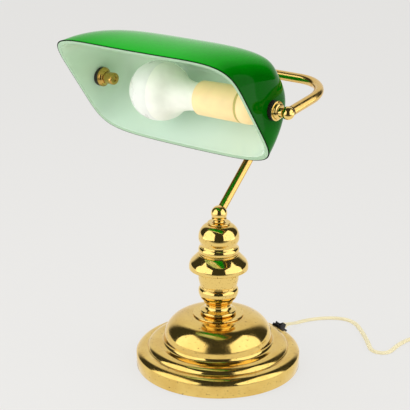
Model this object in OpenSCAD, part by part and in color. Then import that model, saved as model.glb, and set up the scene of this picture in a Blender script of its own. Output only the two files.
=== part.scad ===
// Bankers lamp with a cased glass trough shade on a brass yoke.
// Millimetres. Origin at the middle of the base underside, Z up,
// X along the shade towards the lampholder, -Y to the front.

/* [Base] */
// Radius of the base rim
base_r = 88; // [84:1:94]
// Height of the vertical rim
rim_h = 15.4; // [14:0.2:17]
// Height of the flat top of the dome
dome_z = 57; // [54:1:60]
// Thickness of the spun brass sheet
sheet = 1.2; // [1:0.1:1.6]
// Angle of the switch from the back, towards the lampholder side
switch_turn = 15; // [14.5:0.5:22]
// Angle of the cord outlet from the back
cord_turn = 5; // [3:0.5:7]
// Height of the cord outlet
cord_z = 8.6; // [8:0.2:9]

/* [Column] */
// Radius of the threaded rod through the column
rod_r = 5; // [4.8:0.1:5]
// Height of the ball on top of the column
ball_z = 170.6; // [170.2:0.2:172]
// Radius of that ball
ball_r = 8.5; // [8.2:0.1:9]
// Height of the swivel face under the ball
swivel_z = 161.2; // [161:0.1:161.4]

/* [Arm and yoke] */
// Outer radius of the bent tubes
tube_r = 4.75; // [4.6:0.05:5]
// Inner radius of the bent tubes
tube_bore_r = 3.6; // [3.4:0.1:3.8]
// Lean of the lower arm to the back, from upright
arm_lean = 46; // [44:1:48]
// Bend radius of the arm
arm_bend_r = 32; // [28:1:34]
// Lean of the upper arm back to the front
arm_return = 35; // [33:1:37]
// Half of the distance between the yoke balls
yoke_half = 129; // [128:0.5:131]
// Bend radius of the yoke
yoke_bend_r = 40; // [36:1:42]
// Depth from the pivot line to the yoke bar
yoke_depth = 76.8; // [75:0.2:79]
// Rise of the yoke towards the back
yoke_rise = 10; // [8:0.5:12]
// Radius of the yoke balls
yoke_ball_r = 6.25; // [6:0.05:6.6]

/* [Shade] */
// Pivot line of the shade, distance in front of the column
pivot_front = 62; // [60:1:64]
// Height of the pivot line
pivot_z = 311; // [308:1:314]
// Tilt of the shade opening towards the front
shade_tilt = 54.4; // [50:0.2:58]
// Half length of the glass at its rim
shade_half = 112.5; // [110:0.5:114]
// Half width of the glass at its rim
shade_wide = 66.5; // [64:0.5:68]
// Depth of the glass from rim to crown
shade_deep = 71; // [68:1:74]
// Thickness of the glass
glass_t = 4.3; // [4:0.1:4.6]
// Shift of the opening away from the pivot line, across the opening
rim_shift = -15; // [-17:0.5:-13]
// Distance of the rim plane from the pivot line
rim_drop = 24.8; // [22:0.2:27]
// Rise of the long edges at their middle
rim_bow = 2.3; // [0:0.1:3]

/* [Bulb and holder] */
// Droop of the holder and bulb, in degrees
sag = 1.2; // [0:0.1:1.4]
// Radius of the bulb
bulb_r = 29.7; // [28:0.1:30]
// Place of the bulb's widest point along the pivot line
bulb_x = -26.8; // [-30:0.2:-24]
// Radius of the holder sleeve
holder_r = 16.8; // [16:0.1:17.5]
// Mouth of the holder along the pivot line
holder_x = 28.2; // [27:0.2:30]

/* [Cord] */
// Width of the flat twin flex
flex_w = 5.2; // [5:0.1:5.4]
// Thickness of the flat twin flex
flex_t = 3.2; // [3:0.1:3.4]
// Outer radius of the coil's middle line
coil_r = 35.6; // [33:0.1:36]

/* [Hidden] */
$fn = 72;

BRASS = [0.83, 0.66, 0.32];
STEEL = [0.62, 0.63, 0.65];
IRON = [0.3, 0.3, 0.31];
CREAM = [0.9, 0.83, 0.68];
BLACK = [0.08, 0.08, 0.09];
WHITE = [0.95, 0.95, 0.94];
FLEX = [0.92, 0.87, 0.7];

bore_r = rod_r + 0.2;
foot_z = 31;
foot_r = 58;
dome_flat_r = 27;
disc_top = dome_z + 1.8;
cup_z = 72;
band_z = 90;
skirt_z = 107;
bead_z = 126.2;
cap_z = 159.5;
web_z = 156.5;
rod_top = 150.9;
hub_r = 7.9;
stud_r = 4;
neck_z = 166.4;
flex_z = flex_t / 2;

// Yoke bar and pivot line as places in the YZ plane.
pivot = [-pivot_front, pivot_z];
bar = pivot + yoke_depth * [cos(yoke_rise), sin(yoke_rise)];

// Places along the pivot line, from the middle outwards.
knob_x = 87;
inner_cup_x = 98.6;
inner_pad_x = 103;
glass_out_x = shade_half - 0.8;
glass_in_x = glass_out_x - glass_t;
outer_pad_x = glass_out_x + 4.5;
cup_end_x = outer_pad_x + 5.2;
end_slant = 6.4;
nipple_r = 4;
nipple_end = 124;
housing_x = bulb_x + 6.8;

function rev(l) = [for (i = [len(l) - 1:-1:0]) l[i]];
function unit(v) = v / norm(v);
function sgn(v) = v < 0 ? -1 : 1;
function power(v, e) = sgn(v) * pow(abs(v), e);

// Points on an arc of an ellipse, or of a squarer curve when e is over 2.
function bow(c, rx, ry, a0, a1, n = 8, e = 2) = [
    for (i = [0:n])
        let (a = a0 + (a1 - a0) * i / n)
        [c[0] + rx * power(cos(a), 2 / e), c[1] + ry * power(sin(a), 2 / e)]
];

// The path moved by t to its right-hand side.
function side_of(a, b) = let (d = unit(b - a)) [d[1], -d[0]];
function inset(p, t) = [
    for (i = [0:len(p) - 1])
        let (n0 = side_of(p[max(i - 1, 0)], p[max(i, 1)]))
        let (n1 = side_of(p[min(i, len(p) - 2)], p[min(i + 1, len(p) - 1)]))
        let (m = unit(n0 + n1))
        p[i] + m * t / max(m * n0, 0.5)
];

// A turned solid: the outline runs from the top down, all of it outside the bore.
module turned(outline) {
    rotate_extrude($fn = 96)
        polygon(outline);
}

// A spun shell: the outline runs from the bore outwards and down to the open rim.
module spun(outline, wall) {
    turned(concat(outline, rev(inset(outline, wall))));
}

// A ring with a rounded outer edge.
module washer(r, bore, h) {
    e = min(h / 2, 0.8);
    turned(concat([[bore, 0], [r - e, 0]], bow([r - e, h / 2], e, h / 2, -90, 90, 6), [[bore, h]]));
}

// Places children with their Z axis along the pivot line, side 1 or -1.
module on_pivot(x, side) {
    translate([side * x, pivot[0], pivot[1]])
        rotate([0, side * 90, 0])
            children();
}

// Places children with Z along the lampholder's own, slightly drooping axis.
module at_holder(x) {
    translate([inner_cup_x, pivot[0], pivot[1]])
        rotate([0, -sag, 0])
            translate([x - inner_cup_x, 0, 0])
                rotate([0, 90, 0])
                    children();
}

// Places children on the base at an angle from the back, Z outwards.
module at_back(turn, r, z) {
    rotate([0, 0, -turn])
        translate([0, r, z])
            rotate([-90, 0, 0])
                children();
}

// Base

base_outline = concat(
    [[bore_r, dome_z]],
    bow([dome_flat_r, foot_z], foot_r - dome_flat_r, dome_z - foot_z, 90, 0, 16, 2.1),
    [[58.4, 29.6], [59.3, 28.2], [60.6, 27.4], [62, 27.2]],
    bow([65, 20.4], 10.8, 6.7, 97, 8, 9),
    [[76.2, 20.9], [76.9, 20.7]],
    bow([78.8, rim_h - 5.2], base_r - 77.4, 26.2 - rim_h, 93, 29, 8),
    [[base_r, 1.4], [base_r - 0.3, 0.8]]
);

// Place of the switch on the shoulder of the base, its slope and the rocker's tip to one side
switch_r = 84.9;
switch_z = 18.3;
switch_tilt = 38;
rocker_tip = 11;

module at_switch() {
    rotate([0, 0, -switch_turn])
        translate([0, switch_r, switch_z])
            rotate([-switch_tilt, 0, 0])
                children();
}

module base_cover() {
    color(BRASS)
        difference() {
            spun(base_outline, sheet);
            at_switch()
                translate([-7.6, -5.3, -14])
                    cube([15.2, 10.6, 22]);
            at_back(cord_turn, base_r - 6, cord_z)
                cylinder(r = 5.2, h = 10);
        }
}

module felt_pad() {
    color([0.12, 0.2, 0.14])
        cylinder(r = base_r - 2.5, h = 2, $fn = 96);
}

module base_plate() {
    color(STEEL)
        translate([0, 0, 2])
            difference() {
                cylinder(r = base_r - sheet, h = 1.2, $fn = 96);
                translate([0, 0, -1])
                    cylinder(r = 12, h = 4);
            }
}

module base_weight() {
    color(IRON)
        difference() {
            turned([[bore_r, 16], [14, 16], [14, 3.2], [56, 3.2], [56, 13], [52, 15],
                [46, 16], [44, 26], [bore_r, 26]]);
            rotate([0, 0, -10])
                translate([-4, 8, 3])
                    cube([8, 52, 7]);
        }
}

module rod_nut() {
    color(BRASS)
        translate([0, 0, 9.5])
            difference() {
                cylinder(r = 9.2, h = 5, $fn = 6);
                translate([0, 0, -1])
                    cylinder(r = rod_r, h = 7);
            }
}

module rod_washer() {
    color(STEEL)
        translate([0, 0, 14.5])
            washer(11.5, bore_r, 1.5);
}

module column_rod() {
    color(BRASS)
        difference() {
            translate([0, 0, 8.5])
                cylinder(r = rod_r, h = rod_top - 8.5);
            translate([0, 0, 7])
                cylinder(r = 3, h = 146);
        }
}

module spacer_tube() {
    color(STEEL)
        translate([0, 0, 26])
            difference() {
                cylinder(r = 7.5, h = dome_z - sheet - 26);
                translate([0, 0, -1])
                    cylinder(r = bore_r, h = 40);
            }
}

// Column

module foot_disc() {
    color(BRASS)
        turned(concat([[bore_r, dome_z], [26, dome_z]],
            bow([26, dome_z + 0.9], 1, 0.9, -90, 60, 4),
            bow([16, dome_z + 1.2], 10, 0.6, 30, 90, 4), [[bore_r, disc_top]]));
}

module foot_collar() {
    color(BRASS)
        turned(concat([[bore_r, disc_top], [16.6, disc_top]],
            bow([16.6, disc_top + 2.3], 2.7, 2.3, -90, 80, 8),
            bow([16.8, 68], 3.6, 4, 255, 110, 8), [[14, cup_z], [bore_r, cup_z]]));
}

module lower_cup() {
    color(BRASS)
        turned(concat([[bore_r, cup_z], [13.6, cup_z]],
            bow([9.4, 84.6], 12, 12.6, -66, 0, 8),
            bow([18.6, 84.6], 2.8, 4.4, 8, 66, 5),
            [[19.7, band_z], [17.7, band_z], [17.7, 86]],
            bow([9.4, 84.6], 9.6, 10.6, -8, -66, 6), [[bore_r, 74.4]]));
}

module column_band() {
    color(BRASS)
        turned(concat([[17.7, band_z], [19.7, band_z]],
            bow([20.5, 91.2], 0.7, 1, 225, 120, 4),
            [[20.4, 93.4], [21.6, 98.6], [21.8, skirt_z - 0.6], [21.4, skirt_z], [bore_r, skirt_z],
            [bore_r, skirt_z - 2], [17.7, skirt_z - 2]]));
}

// A bell with a rounded lip, hollow towards the rod.
module column_skirt() {
    lip_z = 110.5;
    color(BRASS)
        turned(concat([[19.4, skirt_z], [21.4, skirt_z], [21.9, 108.9], [23.2, 110.3], [29.7, 110.3]],
            bow([30.7, lip_z], 0.9, 0.9, -90, 0, 4),
            bow([20, lip_z + 1.5], 11.6, 11.6, 0, 45, 8),
            [[22.2, bead_z], [bore_r, bead_z], [bore_r, bead_z - 2], [20.2, bead_z - 2],
            [26.4, 118.6], [28.6, 114.5], [28.9, 112], [22.4, 112], [20.4, 110]]));
}

module upper_bead() {
    color(BRASS)
        turned(concat([[17.4, bead_z], [21, bead_z]],
            bow([18.9, 130.9], 2.8, 4.3, -50, 62, 8),
            bow([21.4, 137], 1.6, 2.6, 222, 138, 5),
            bow([18.9, 144.6], 2.8, 5.6, -50, 0, 5),
            bow([9.6, 144.6], 12.1, 14.9, 8, 76, 9),
            [[hub_r + 0.1, cap_z], [hub_r + 0.1, cap_z - 2]],
            bow([9.6, 144.6], 9.2, 12.6, 76, 0, 6), [[17.4, 136]]));
}

// The cap screws onto the rod, and its web holds the stud of the swivel.
module column_cap() {
    color(BRASS)
        turned(concat([[rod_r, 148], [hub_r, 148], [hub_r, cap_z], [11.5, cap_z]],
            bow([11.5, cap_z + 0.85], 0.8, 0.85, -90, 90, 6),
            [[stud_r + 0.05, swivel_z], [stud_r + 0.05, web_z], [6.5, web_z],
            [6.5, rod_top], [rod_r, rod_top]]));
}

module swivel_stud() {
    color(BRASS)
        difference() {
            turned(concat([[1, 153.2], [stud_r, 153.2], [stud_r, swivel_z + 0.2],
                [7.2, swivel_z + 0.2]],
                bow([9, 163.1], 2.9, 1.8, 236, 124, 6),
                bow([7.2, neck_z - 0.9], 0.9, 0.9, -70, 90, 6), [[1, neck_z]]));
            translate([0, 0, 150])
                cylinder(r = 2.6, h = 20);
        }
}

module swivel_ring() {
    color(STEEL)
        translate([0, 0, web_z - 2])
            difference() {
                cylinder(r = 6, h = 1.7);
                translate([0, 0, -1])
                    cylinder(r = stud_r, h = 4);
            }
}

// Arm and yoke

// The arm's middle line: a straight, a bend and a straight, in the YZ plane.
arm_turn = arm_lean + arm_return;
bend_run = arm_bend_r * [cos(arm_return) - cos(arm_lean), sin(arm_lean) + sin(arm_return)];
arm_gap = [bar[0], bar[1] - ball_z] - bend_run;
arm_low = (arm_gap[0] * cos(arm_return) + arm_gap[1] * sin(arm_return)) / sin(arm_turn);
arm_high = (arm_gap[1] * sin(arm_lean) - arm_gap[0] * cos(arm_lean)) / sin(arm_turn);

// A rod of radius r along the arm, from a distance after the ball to short of the bar.
// The upper straight is a hair thinner and starts inside the bend, so that the two join.
module along_arm(r, start, short) {
    translate([0, 0, ball_z])
        rotate([-arm_lean, 0, 0]) {
            translate([0, 0, start])
                cylinder(r = r, h = arm_low - start);
            translate([0, 0, arm_low])
                rotate([0, 0, 90])
                    translate([-arm_bend_r, 0, 0])
                        rotate([90, 0, 0]) {
                            rotate_extrude(angle = arm_turn)
                                translate([arm_bend_r, 0])
                                    circle(r = r);
                            rotate([0, 0, arm_turn])
                                translate([arm_bend_r, -0.5, 0])
                                    rotate([-90, 0, 0])
                                        cylinder(r = r - 0.02, h = arm_high - short + 0.5);
                        }
        }
}

module at_bar() {
    translate([0, bar[0], bar[1]])
        rotate([yoke_rise, 0, 0])
            children();
}

// A rod along one arm of the yoke, side 1 or -1.
module along_yoke_side(r, side, short) {
    bar_half = yoke_half - yoke_bend_r;
    at_bar() {
        rotate([0, side * 90, 0])
            cylinder(r = r, h = bar_half);
        translate([side * bar_half, -yoke_bend_r, 0])
            rotate([0, 0, side > 0 ? 0 : 90])
                rotate_extrude(angle = 90)
                    translate([yoke_bend_r, 0])
                        circle(r = r);
        translate([side * yoke_half, -yoke_bend_r, 0])
            rotate([90, 0, 0])
                cylinder(r = r, h = yoke_depth - yoke_bend_r - short);
    }
}

module column_ball() {
    color(BRASS)
        difference() {
            translate([0, 0, ball_z])
                sphere(r = ball_r);
            translate([0, 0, ball_z - 20])
                cylinder(r = 2.6, h = 20);
            translate([0, 0, neck_z - 20])
                cylinder(r = ball_r, h = 20);
            translate([0, 0, ball_z])
                sphere(r = 2.6);
            translate([0, 0, ball_z])
                rotate([-arm_lean, 0, 0])
                    cylinder(r = 2.6, h = 20);
            translate([0, 0, ball_z])
                rotate([-arm_lean, 0, 0])
                    translate([0, 0, 4])
                        cylinder(r = tube_r, h = 20);
        }
}

module arm_tube() {
    color(BRASS)
        difference() {
            along_arm(tube_r, 4, 8);
            along_arm(tube_bore_r, 2, 6);
        }
}

module yoke_hub() {
    color(BRASS)
        difference() {
            union() {
                at_bar()
                    translate([-13, 0, 0])
                        rotate([0, 90, 0])
                            turned(concat([[0, 0], [6.2, 0]],
                                bow([6.2, 1.4], 1.4, 1.4, -90, 0, 4),
                                bow([6.2, 24.6], 1.4, 1.4, 0, 90, 4), [[0, 26]]));
                translate([0, bar[0], bar[1]])
                    rotate([arm_return, 0, 0])
                        translate([0, 0, -14])
                            cylinder(r = 6.6, h = 14);
            }
            at_bar()
                translate([-20, 0, 0])
                    rotate([0, 90, 0])
                        cylinder(r = tube_r, h = 40);
            translate([0, bar[0], bar[1]])
                rotate([arm_return, 0, 0])
                    translate([0, 0, -20])
                        cylinder(r = tube_r, h = 12);
            translate([0, bar[0], bar[1]])
                rotate([arm_return, 0, 0])
                    translate([0, 0, -14])
                        cylinder(r = 2.8, h = 12);
        }
}

module yoke_tube() {
    color(BRASS)
        difference() {
            union() {
                along_yoke_side(tube_r, 1, 5.2);
                along_yoke_side(tube_r, -1, 5.2);
            }
            along_yoke_side(tube_bore_r, 1, 4);
            along_yoke_side(tube_bore_r, -1, 4);
            translate([0, bar[0], bar[1]])
                rotate([arm_return, 0, 0])
                    translate([0, 0, -10])
                        cylinder(r = 2.8, h = 10);
        }
}

// The ball and its neck, turned in one piece, with the lead's way through it.
module yoke_ball(side) {
    color(BRASS)
        difference() {
            union() {
                translate([side * yoke_half, pivot[0], pivot[1]])
                    sphere(r = yoke_ball_r);
                on_pivot(cup_end_x, side)
                    turned([[0, 0], [5.3, 0], [4.9, 1.4], [4.9, 4], [0, 4]]);
            }
            on_pivot(cup_end_x - 1, side)
                cylinder(r = nipple_r, h = nipple_end - cup_end_x + 1);
            on_pivot(cup_end_x, side)
                cylinder(r = 2, h = yoke_half - cup_end_x + 1.6);
            translate([side * yoke_half, pivot[0], pivot[1]])
                rotate([yoke_rise - 90, 0, 0])
                    cylinder(r = 1.9, h = 12);
            translate([side * yoke_half, pivot[0], pivot[1]])
                rotate([yoke_rise - 90, 0, 0])
                    translate([0, 0, 5.2])
                        cylinder(r = tube_r + 0.6, h = 12);
        }
}

module left_ball() {
    yoke_ball(-1);
}

module right_ball() {
    mirror([1, 0, 0])
        yoke_ball(-1);
}

// Fittings at the two ends of the glass

module nipple(side, start) {
    color(BRASS)
        on_pivot(start, side)
            difference() {
                cylinder(r = nipple_r, h = nipple_end - start);
                translate([0, 0, -1])
                    cylinder(r = 2, h = 50);
            }
}

module left_nipple() {
    nipple(-1, 90);
}

module right_nipple() {
    nipple(1, 88);
}

module outer_cup(side) {
    color(BRASS)
        on_pivot(outer_pad_x + 0.1, side)
            turned(concat([[nipple_r, 0], [8.7, 0]],
                bow([8.7, 0.6], 0.6, 0.6, -90, 90, 6), [[7.9, 1.2], [7.9, 1.8]],
                bow([5.2, 1.8], 2.7, 2.6, 0, 70, 6), [[5.6, 5.1], [nipple_r, 5.1]]));
}

module left_cup() {
    outer_cup(-1);
}

module right_cup() {
    outer_cup(1);
}

// Keeps the part of a pad that lies outside, or inside, the slanted end of the glass.
module clear_of_glass(side, x, outside) {
    out = outside ? side : -side;
    intersection() {
        children();
        translate([side * x, pivot[0], pivot[1]])
            rotate([90 - shade_tilt, 0, 0])
                rotate([0, 0, side * end_slant])
                    translate([out > 0 ? 0 : -20, -15, -15])
                        cube([20, 30, 30]);
    }
}

// Rubber pad outside the glass, with a sleeve through the hole in the glass.
module grommet(side) {
    start = glass_out_x - 2.2;
    color(BLACK)
        union() {
            on_pivot(glass_in_x, side)
                turned([[nipple_r + 0.05, 0], [6, 0], [6, glass_t + 1.7], [nipple_r + 0.05, glass_t + 1.7]]);
            clear_of_glass(side, glass_out_x - 0.1, true)
                on_pivot(start, side)
                    turned([[nipple_r + 0.05, 0], [9.3, 0], [9.3, 5.9], [8.7, outer_pad_x - start],
                        [nipple_r + 0.05, outer_pad_x - start]]);
        }
}

module left_grommet() {
    grommet(-1);
}

module right_grommet() {
    grommet(1);
}

module inner_pad(side) {
    color(BLACK)
        clear_of_glass(side, glass_in_x - 0.85, false)
            on_pivot(inner_pad_x, side)
                translate([0, 0, 0.1])
                    washer(9.6, nipple_r + 0.05, 6);
}

module left_inner_pad() {
    inner_pad(-1);
}

module right_inner_pad() {
    inner_pad(1);
}

module inner_cup(side) {
    color(BRASS)
        on_pivot(inner_cup_x, side)
            turned(concat([[nipple_r, 4.4], [nipple_r, 0], [6, 0]],
                bow([5.4, 3.4], 3.4, 3, -70, -20, 5), [[9.2, 3.4]],
                bow([9.3, 3.9], 0.5, 0.5, -90, 90, 6)));
}

module left_inner_cup() {
    inner_cup(-1);
}

module right_inner_cup() {
    inner_cup(1);
}

module left_knob() {
    color(BRASS)
        on_pivot(knob_x, -1)
            difference() {
                turned(concat([[0, 0], [5.4, 0]], bow([5.4, 0.8], 0.8, 0.8, -90, 0, 4),
                    [[6.2, 10.8], [5.8, 11.6], [0, 11.6]]));
                translate([0, 0, 3])
                    cylinder(r = nipple_r, h = 12);
            }
}

// Shade

// Plan of the glass at a share s of its depth: half length, half width, squareness.
function glass_len(s) = 66 + (shade_half - 66) * pow(1 - pow(s, 2.9), 1 / 2.9);
function glass_wid(s) = 20 + (shade_wide - 20) * pow(1 - pow(s, 1.42), 1 / 1.42);
function glass_sq(s) = 6 - 2.4 * pow(s, 0.65);
crown_shift = 13;

glass_sides = 64;
glass_steps = [0, 0.06, 0.14, 0.24, 0.36, 0.5, 0.64, 0.76, 0.86, 0.93, 0.975, 1];

// A ring of points on the glass, moved inwards by t.
function glass_ring(s, t) = [
    for (i = [0:glass_sides - 1])
        let (a = 360 * (i + 0.5) / glass_sides)
        let (x = (glass_len(s) - t) * power(cos(a), 2 / glass_sq(s)))
        let (u = (glass_wid(s) - t) * power(sin(a), 2 / glass_sq(s)))
        let (edge = 1 - pow(x / shade_half, 2))
        [x, u + rim_shift + crown_shift * s, rim_drop - s * (shade_deep - t) + rim_bow * edge * (1 - s)]
];

function glass_points() = concat(
    [for (s = glass_steps) each glass_ring(s, 0)],
    [for (s = rev(glass_steps)) each glass_ring(s, glass_t)]
);

// Triangles between one ring of points and the next.
function ring_faces(rings, n) = [
    for (j = [0:rings - 2], i = [0:n - 1])
        let (a = j * n + i, b = j * n + (i + 1) % n)
        each [[a, b, b + n], [a, b + n, a + n]]
];

// Turns the glass's own frame (length, across, out of the opening) into the lamp's.
module at_shade() {
    translate([0, pivot[0], pivot[1]])
        rotate([-shade_tilt, 0, 0])
            rotate([180, 0, 0])
                mirror([0, 1, 0])
                    children();
}

// Closing faces over one ring of points: a fan from its first point.
function cap_faces(first, n, up) = [
    for (i = [1:n - 2])
        up ? [first, first + i, first + i + 1] : [first, first + i + 1, first + i]
];

module shade_glass() {
    n = glass_sides;
    k = len(glass_steps);
    shell = [
        for (f = ring_faces(2 * k, n))
            if (!(f[0] >= (k - 1) * n && f[0] < k * n))
                f
    ];
    lip = [
        for (i = [0:n - 1])
            let (a = i, b = (i + 1) % n)
            let (c = (2 * k - 1) * n + i, d = (2 * k - 1) * n + (i + 1) % n)
            each [[a, c, d], [a, d, b]]
    ];
    color([0.03, 0.45, 0.12])
        difference() {
            at_shade()
                polyhedron(concat(glass_points()),
                    concat(shell, lip, cap_faces((k - 1) * n, n, false), cap_faces(k * n, n, true)));
            for (side = [-1, 1])
                on_pivot(90, side)
                    cylinder(r = 6.1, h = 40);
        }
}

// Lampholder

module holder_cap() {
    color(CREAM)
        at_holder(82.5)
            turned(concat([[15.2, 0], [17.3, 0], [17.4, 2.4]],
                bow([9.4, 4], 8, 12, 0, 80, 9), [[4.5, 15.9], [4.5, 13.4], [9.4, 13.4]],
                bow([9.2, 4], 6, 9.2, 72, 0, 6)));
}

module holder_ring() {
    color([0.42, 0.38, 0.2])
        at_holder(77.4)
            turned([[14.9, 0], [16.7, 0], [17.2, 0.7], [17.2, 4.4], [16.7, 5.1], [14.9, 5.1]]);
}

module holder_sleeve() {
    color(CREAM)
        at_holder(holder_x)
            turned(concat([[14.8, 77.4 - holder_x], [14.8, 1]],
                bow([15.8, 0.9], 1, 0.9, 180, 360, 8),
                [[17.3, 76.6 - holder_x], [16.8, 77.4 - holder_x]]));
}

module holder_core() {
    color(WHITE)
        at_holder(60)
            difference() {
                cylinder(r = 14.6, h = 16);
                translate([0, 0, -1])
                    cylinder(r = 8, h = 3);
                translate([0, 0, 9])
                    cylinder(r = 10, h = 8);
                for (x = [-5, 5])
                    translate([x, 0, -1])
                        cylinder(r = 1.6, h = 20);
            }
}

// A thread drawn as waves, outwards by t from the bulb cap.
thread_pitch = 3.6;
function waves(t, n) = [
    for (i = [0:n * 6])
        [12.7 + t + 0.4 * sin(60 * i), thread_pitch * i / 6]
];

module holder_thread() {
    color(BRASS)
        at_holder(housing_x + 55.4)
            turned(concat(waves(1.1, 6), rev(waves(0.5, 6))));
}

module holder_contact() {
    color(BRASS)
        at_holder(housing_x + 75.8) {
            translate([-3, -2.5, 0])
                cube([6, 5, 0.6]);
            translate([-1.5, -2.5, 0.6])
                cube([3, 5, 5.6]);
        }
}

// Bulb

module bulb_globe() {
    rim = asin(6.8 / bulb_r);
    color(WHITE)
        at_holder(bulb_x)
            mirror([0, 0, 1])
                turned(concat(bow([0, 0], bulb_r, bulb_r, 90, -rim, 20),
                    rev(bow([0, 0], bulb_r - 1.4, bulb_r - 1.4, 90, -rim, 20))));
}

module bulb_board() {
    color([0.85, 0.86, 0.88])
        at_holder(housing_x + 0.4)
            difference() {
                cylinder(r = 26.4, h = 1.6);
                for (x = [-6, 6])
                    translate([x, 0, -1])
                        cylinder(r = 1.2, h = 4);
            }
}

module bulb_housing() {
    color(WHITE)
        at_holder(housing_x)
            spun(concat([[4, 50.6], [13.2, 50.6], [13.6, 44]],
                bow([31.6, 43.5], 18, 33, 180, 236, 10),
                [[24.6, 13], [27.8, 6.4], [28.9, 1.6], [28.9, 0.1]]), 1.6);
}

module bulb_cap() {
    color([0.75, 0.75, 0.77])
        at_holder(housing_x + 50.8)
            turned(concat([[11.4, 0]], [for (p = waves(0, 5)) p + [0, 1]],
                [[10, 20.8], [9, 21.4], [9, 20.2], [11.4, 18.6]]));
}

module bulb_insulator() {
    color(BLACK)
        at_holder(housing_x + 71)
            turned([[0, 0], [8.9, 0], [8.9, 1.2], [5, 2.5], [0, 2.5]]);
}

module bulb_tip() {
    color(BRASS)
        at_holder(housing_x + 73.5)
            turned([[0, 0], [4.4, 0], [4.4, 0.8], [2.6, 1.9], [0, 2.2]]);
}

// Switch

module switch_body() {
    color(BLACK)
        at_switch()
            difference() {
                union() {
                    translate([-7.5, -5.2, -1.2])
                        cube([15, 10.4, 2.9]);
                    translate([-7.1, -4.8, 1.7])
                        cube([14.2, 9.6, 0.7]);
                    translate([-6.9, -4.3, -10])
                        cube([13.8, 8.6, 10.1]);
                }
                translate([-6.3, -3.7, -5])
                    cube([12.6, 7.4, 10]);
                translate([0, 4.15, -1])
                    rotate([90, 0, 0])
                        cylinder(r = 1.05, h = 8.3);
            }
}

module switch_rocker() {
    color([0.13, 0.13, 0.14])
        at_switch()
            translate([0, 0, -1])
                rotate([0, -rocker_tip, 0]) {
                    translate([0, 3.5, 0])
                        rotate([90, 0, 0])
                            linear_extrude(height = 7)
                                polygon([[-5.3, 7.6], [-2.7, 6.2], [0, 5.6], [2.7, 6.2],
                                    [5.3, 7.6], [5.3, 1.8], [2.2, -2.2], [-2.2, -2.2],
                                    [-5.3, 1.8]]);
                    translate([0, 4.05, 0])
                        rotate([90, 0, 0])
                            cylinder(r = 1, h = 8.1);
                }
}

module switch_tabs() {
    color(BRASS)
        at_switch()
            for (x = [-4.2, 0.6])
                translate([x, -0.4, -14.5])
                    cube([3.6, 0.8, 4.5]);
}

// Swept tubes

// A point of a smooth curve through four points, at a share u between b and c.
function between(a, b, c, d, u) = 0.5 * (2 * b + (c - a) * u
    + (2 * a - 5 * b + 4 * c - d) * pow(u, 2) + (3 * b - a - 3 * c + d) * pow(u, 3));
function smooth_path(p, k) = [
    for (i = [0:len(p) - 2], j = [0:k - 1])
        between(p[max(i - 1, 0)], p[i], p[i + 1], p[min(i + 2, len(p) - 1)], j / k),
    p[len(p) - 1]
];
function path_len(p, i = 0) = i > len(p) - 2 ? 0 : norm(p[i + 1] - p[i]) + path_len(p, i + 1);

// A section of n sides, w wide and t thick, flat at its top and bottom.
function section(n, w, t) = [
    for (i = [0:n - 1])
        let (a = 360 * i / n + (n == 8 ? 22.5 : 0))
        [w / 2 * cos(a) / (n == 8 ? cos(22.5) : 1), t / 2 * sin(a) / cos(180 / n)]
];

function tube_ring(path, i, sec) =
    let (d = unit(path[min(i + 1, len(path) - 1)] - path[max(i - 1, 0)]))
    let (s = unit(cross(d, [0, 0, 1])))
    let (up = cross(s, d))
    [for (p = sec) path[i] + s * p[0] + up * p[1]];

module tube(path, n, w, t) {
    sec = section(n, w, t);
    points = [for (i = [0:len(path) - 1]) each tube_ring(path, i, sec)];
    last = (len(path) - 1) * n;
    polyhedron(points, concat(ring_faces(len(path), n), cap_faces(0, n, false),
        cap_faces(last, n, true)));
}

// Leads inside

module base_lead() {
    path = [[7.2, 82, cord_z], [9, 76, 7.4], [10.4, 68, 6.4], [9.6, 56, 6.2], [7.4, 44, 6.2],
        [5.2, 32, 6.2], [3, 20, 6.2], [1.2, 10, 6.4], [0, 4, 6.8], [0, 0.5, 7.6], [0, 0, 8.4]];
    color(FLEX)
        tube(smooth_path(path, 2), 8, 3.4, 3.4);
}

module column_lead() {
    color(FLEX)
        translate([0, 0, 8.4])
            cylinder(r = 1.8, h = 142.4);
}

module head_lead() {
    color(FLEX) {
        translate([0, 0, rod_top + 0.3])
            cylinder(r = 1.8, h = ball_z - rod_top + 1);
        along_arm(1.7, 0, 0);
        along_yoke_side(1.6, 1, 0);
        on_pivot(90, 1)
            cylinder(r = 1.5, h = yoke_half - 89);
    }
}

// Cord

cord_tip = 110;

module cord_relief() {
    color(FLEX)
        at_back(cord_turn, 84.8, cord_z)
            difference() {
                turned([[1, 0], [5.2, 0], [5.2, 1.8], [4.9, 1.9], [4.9, 3.6], [6, 3.7],
                    [6, 5], [5, 5.8], [3.7, cord_tip - 84.8], [1, cord_tip - 84.8]]);
                translate([0, 0, -1])
                    cylinder(r = 1.8, h = 27);
            }
}

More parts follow.
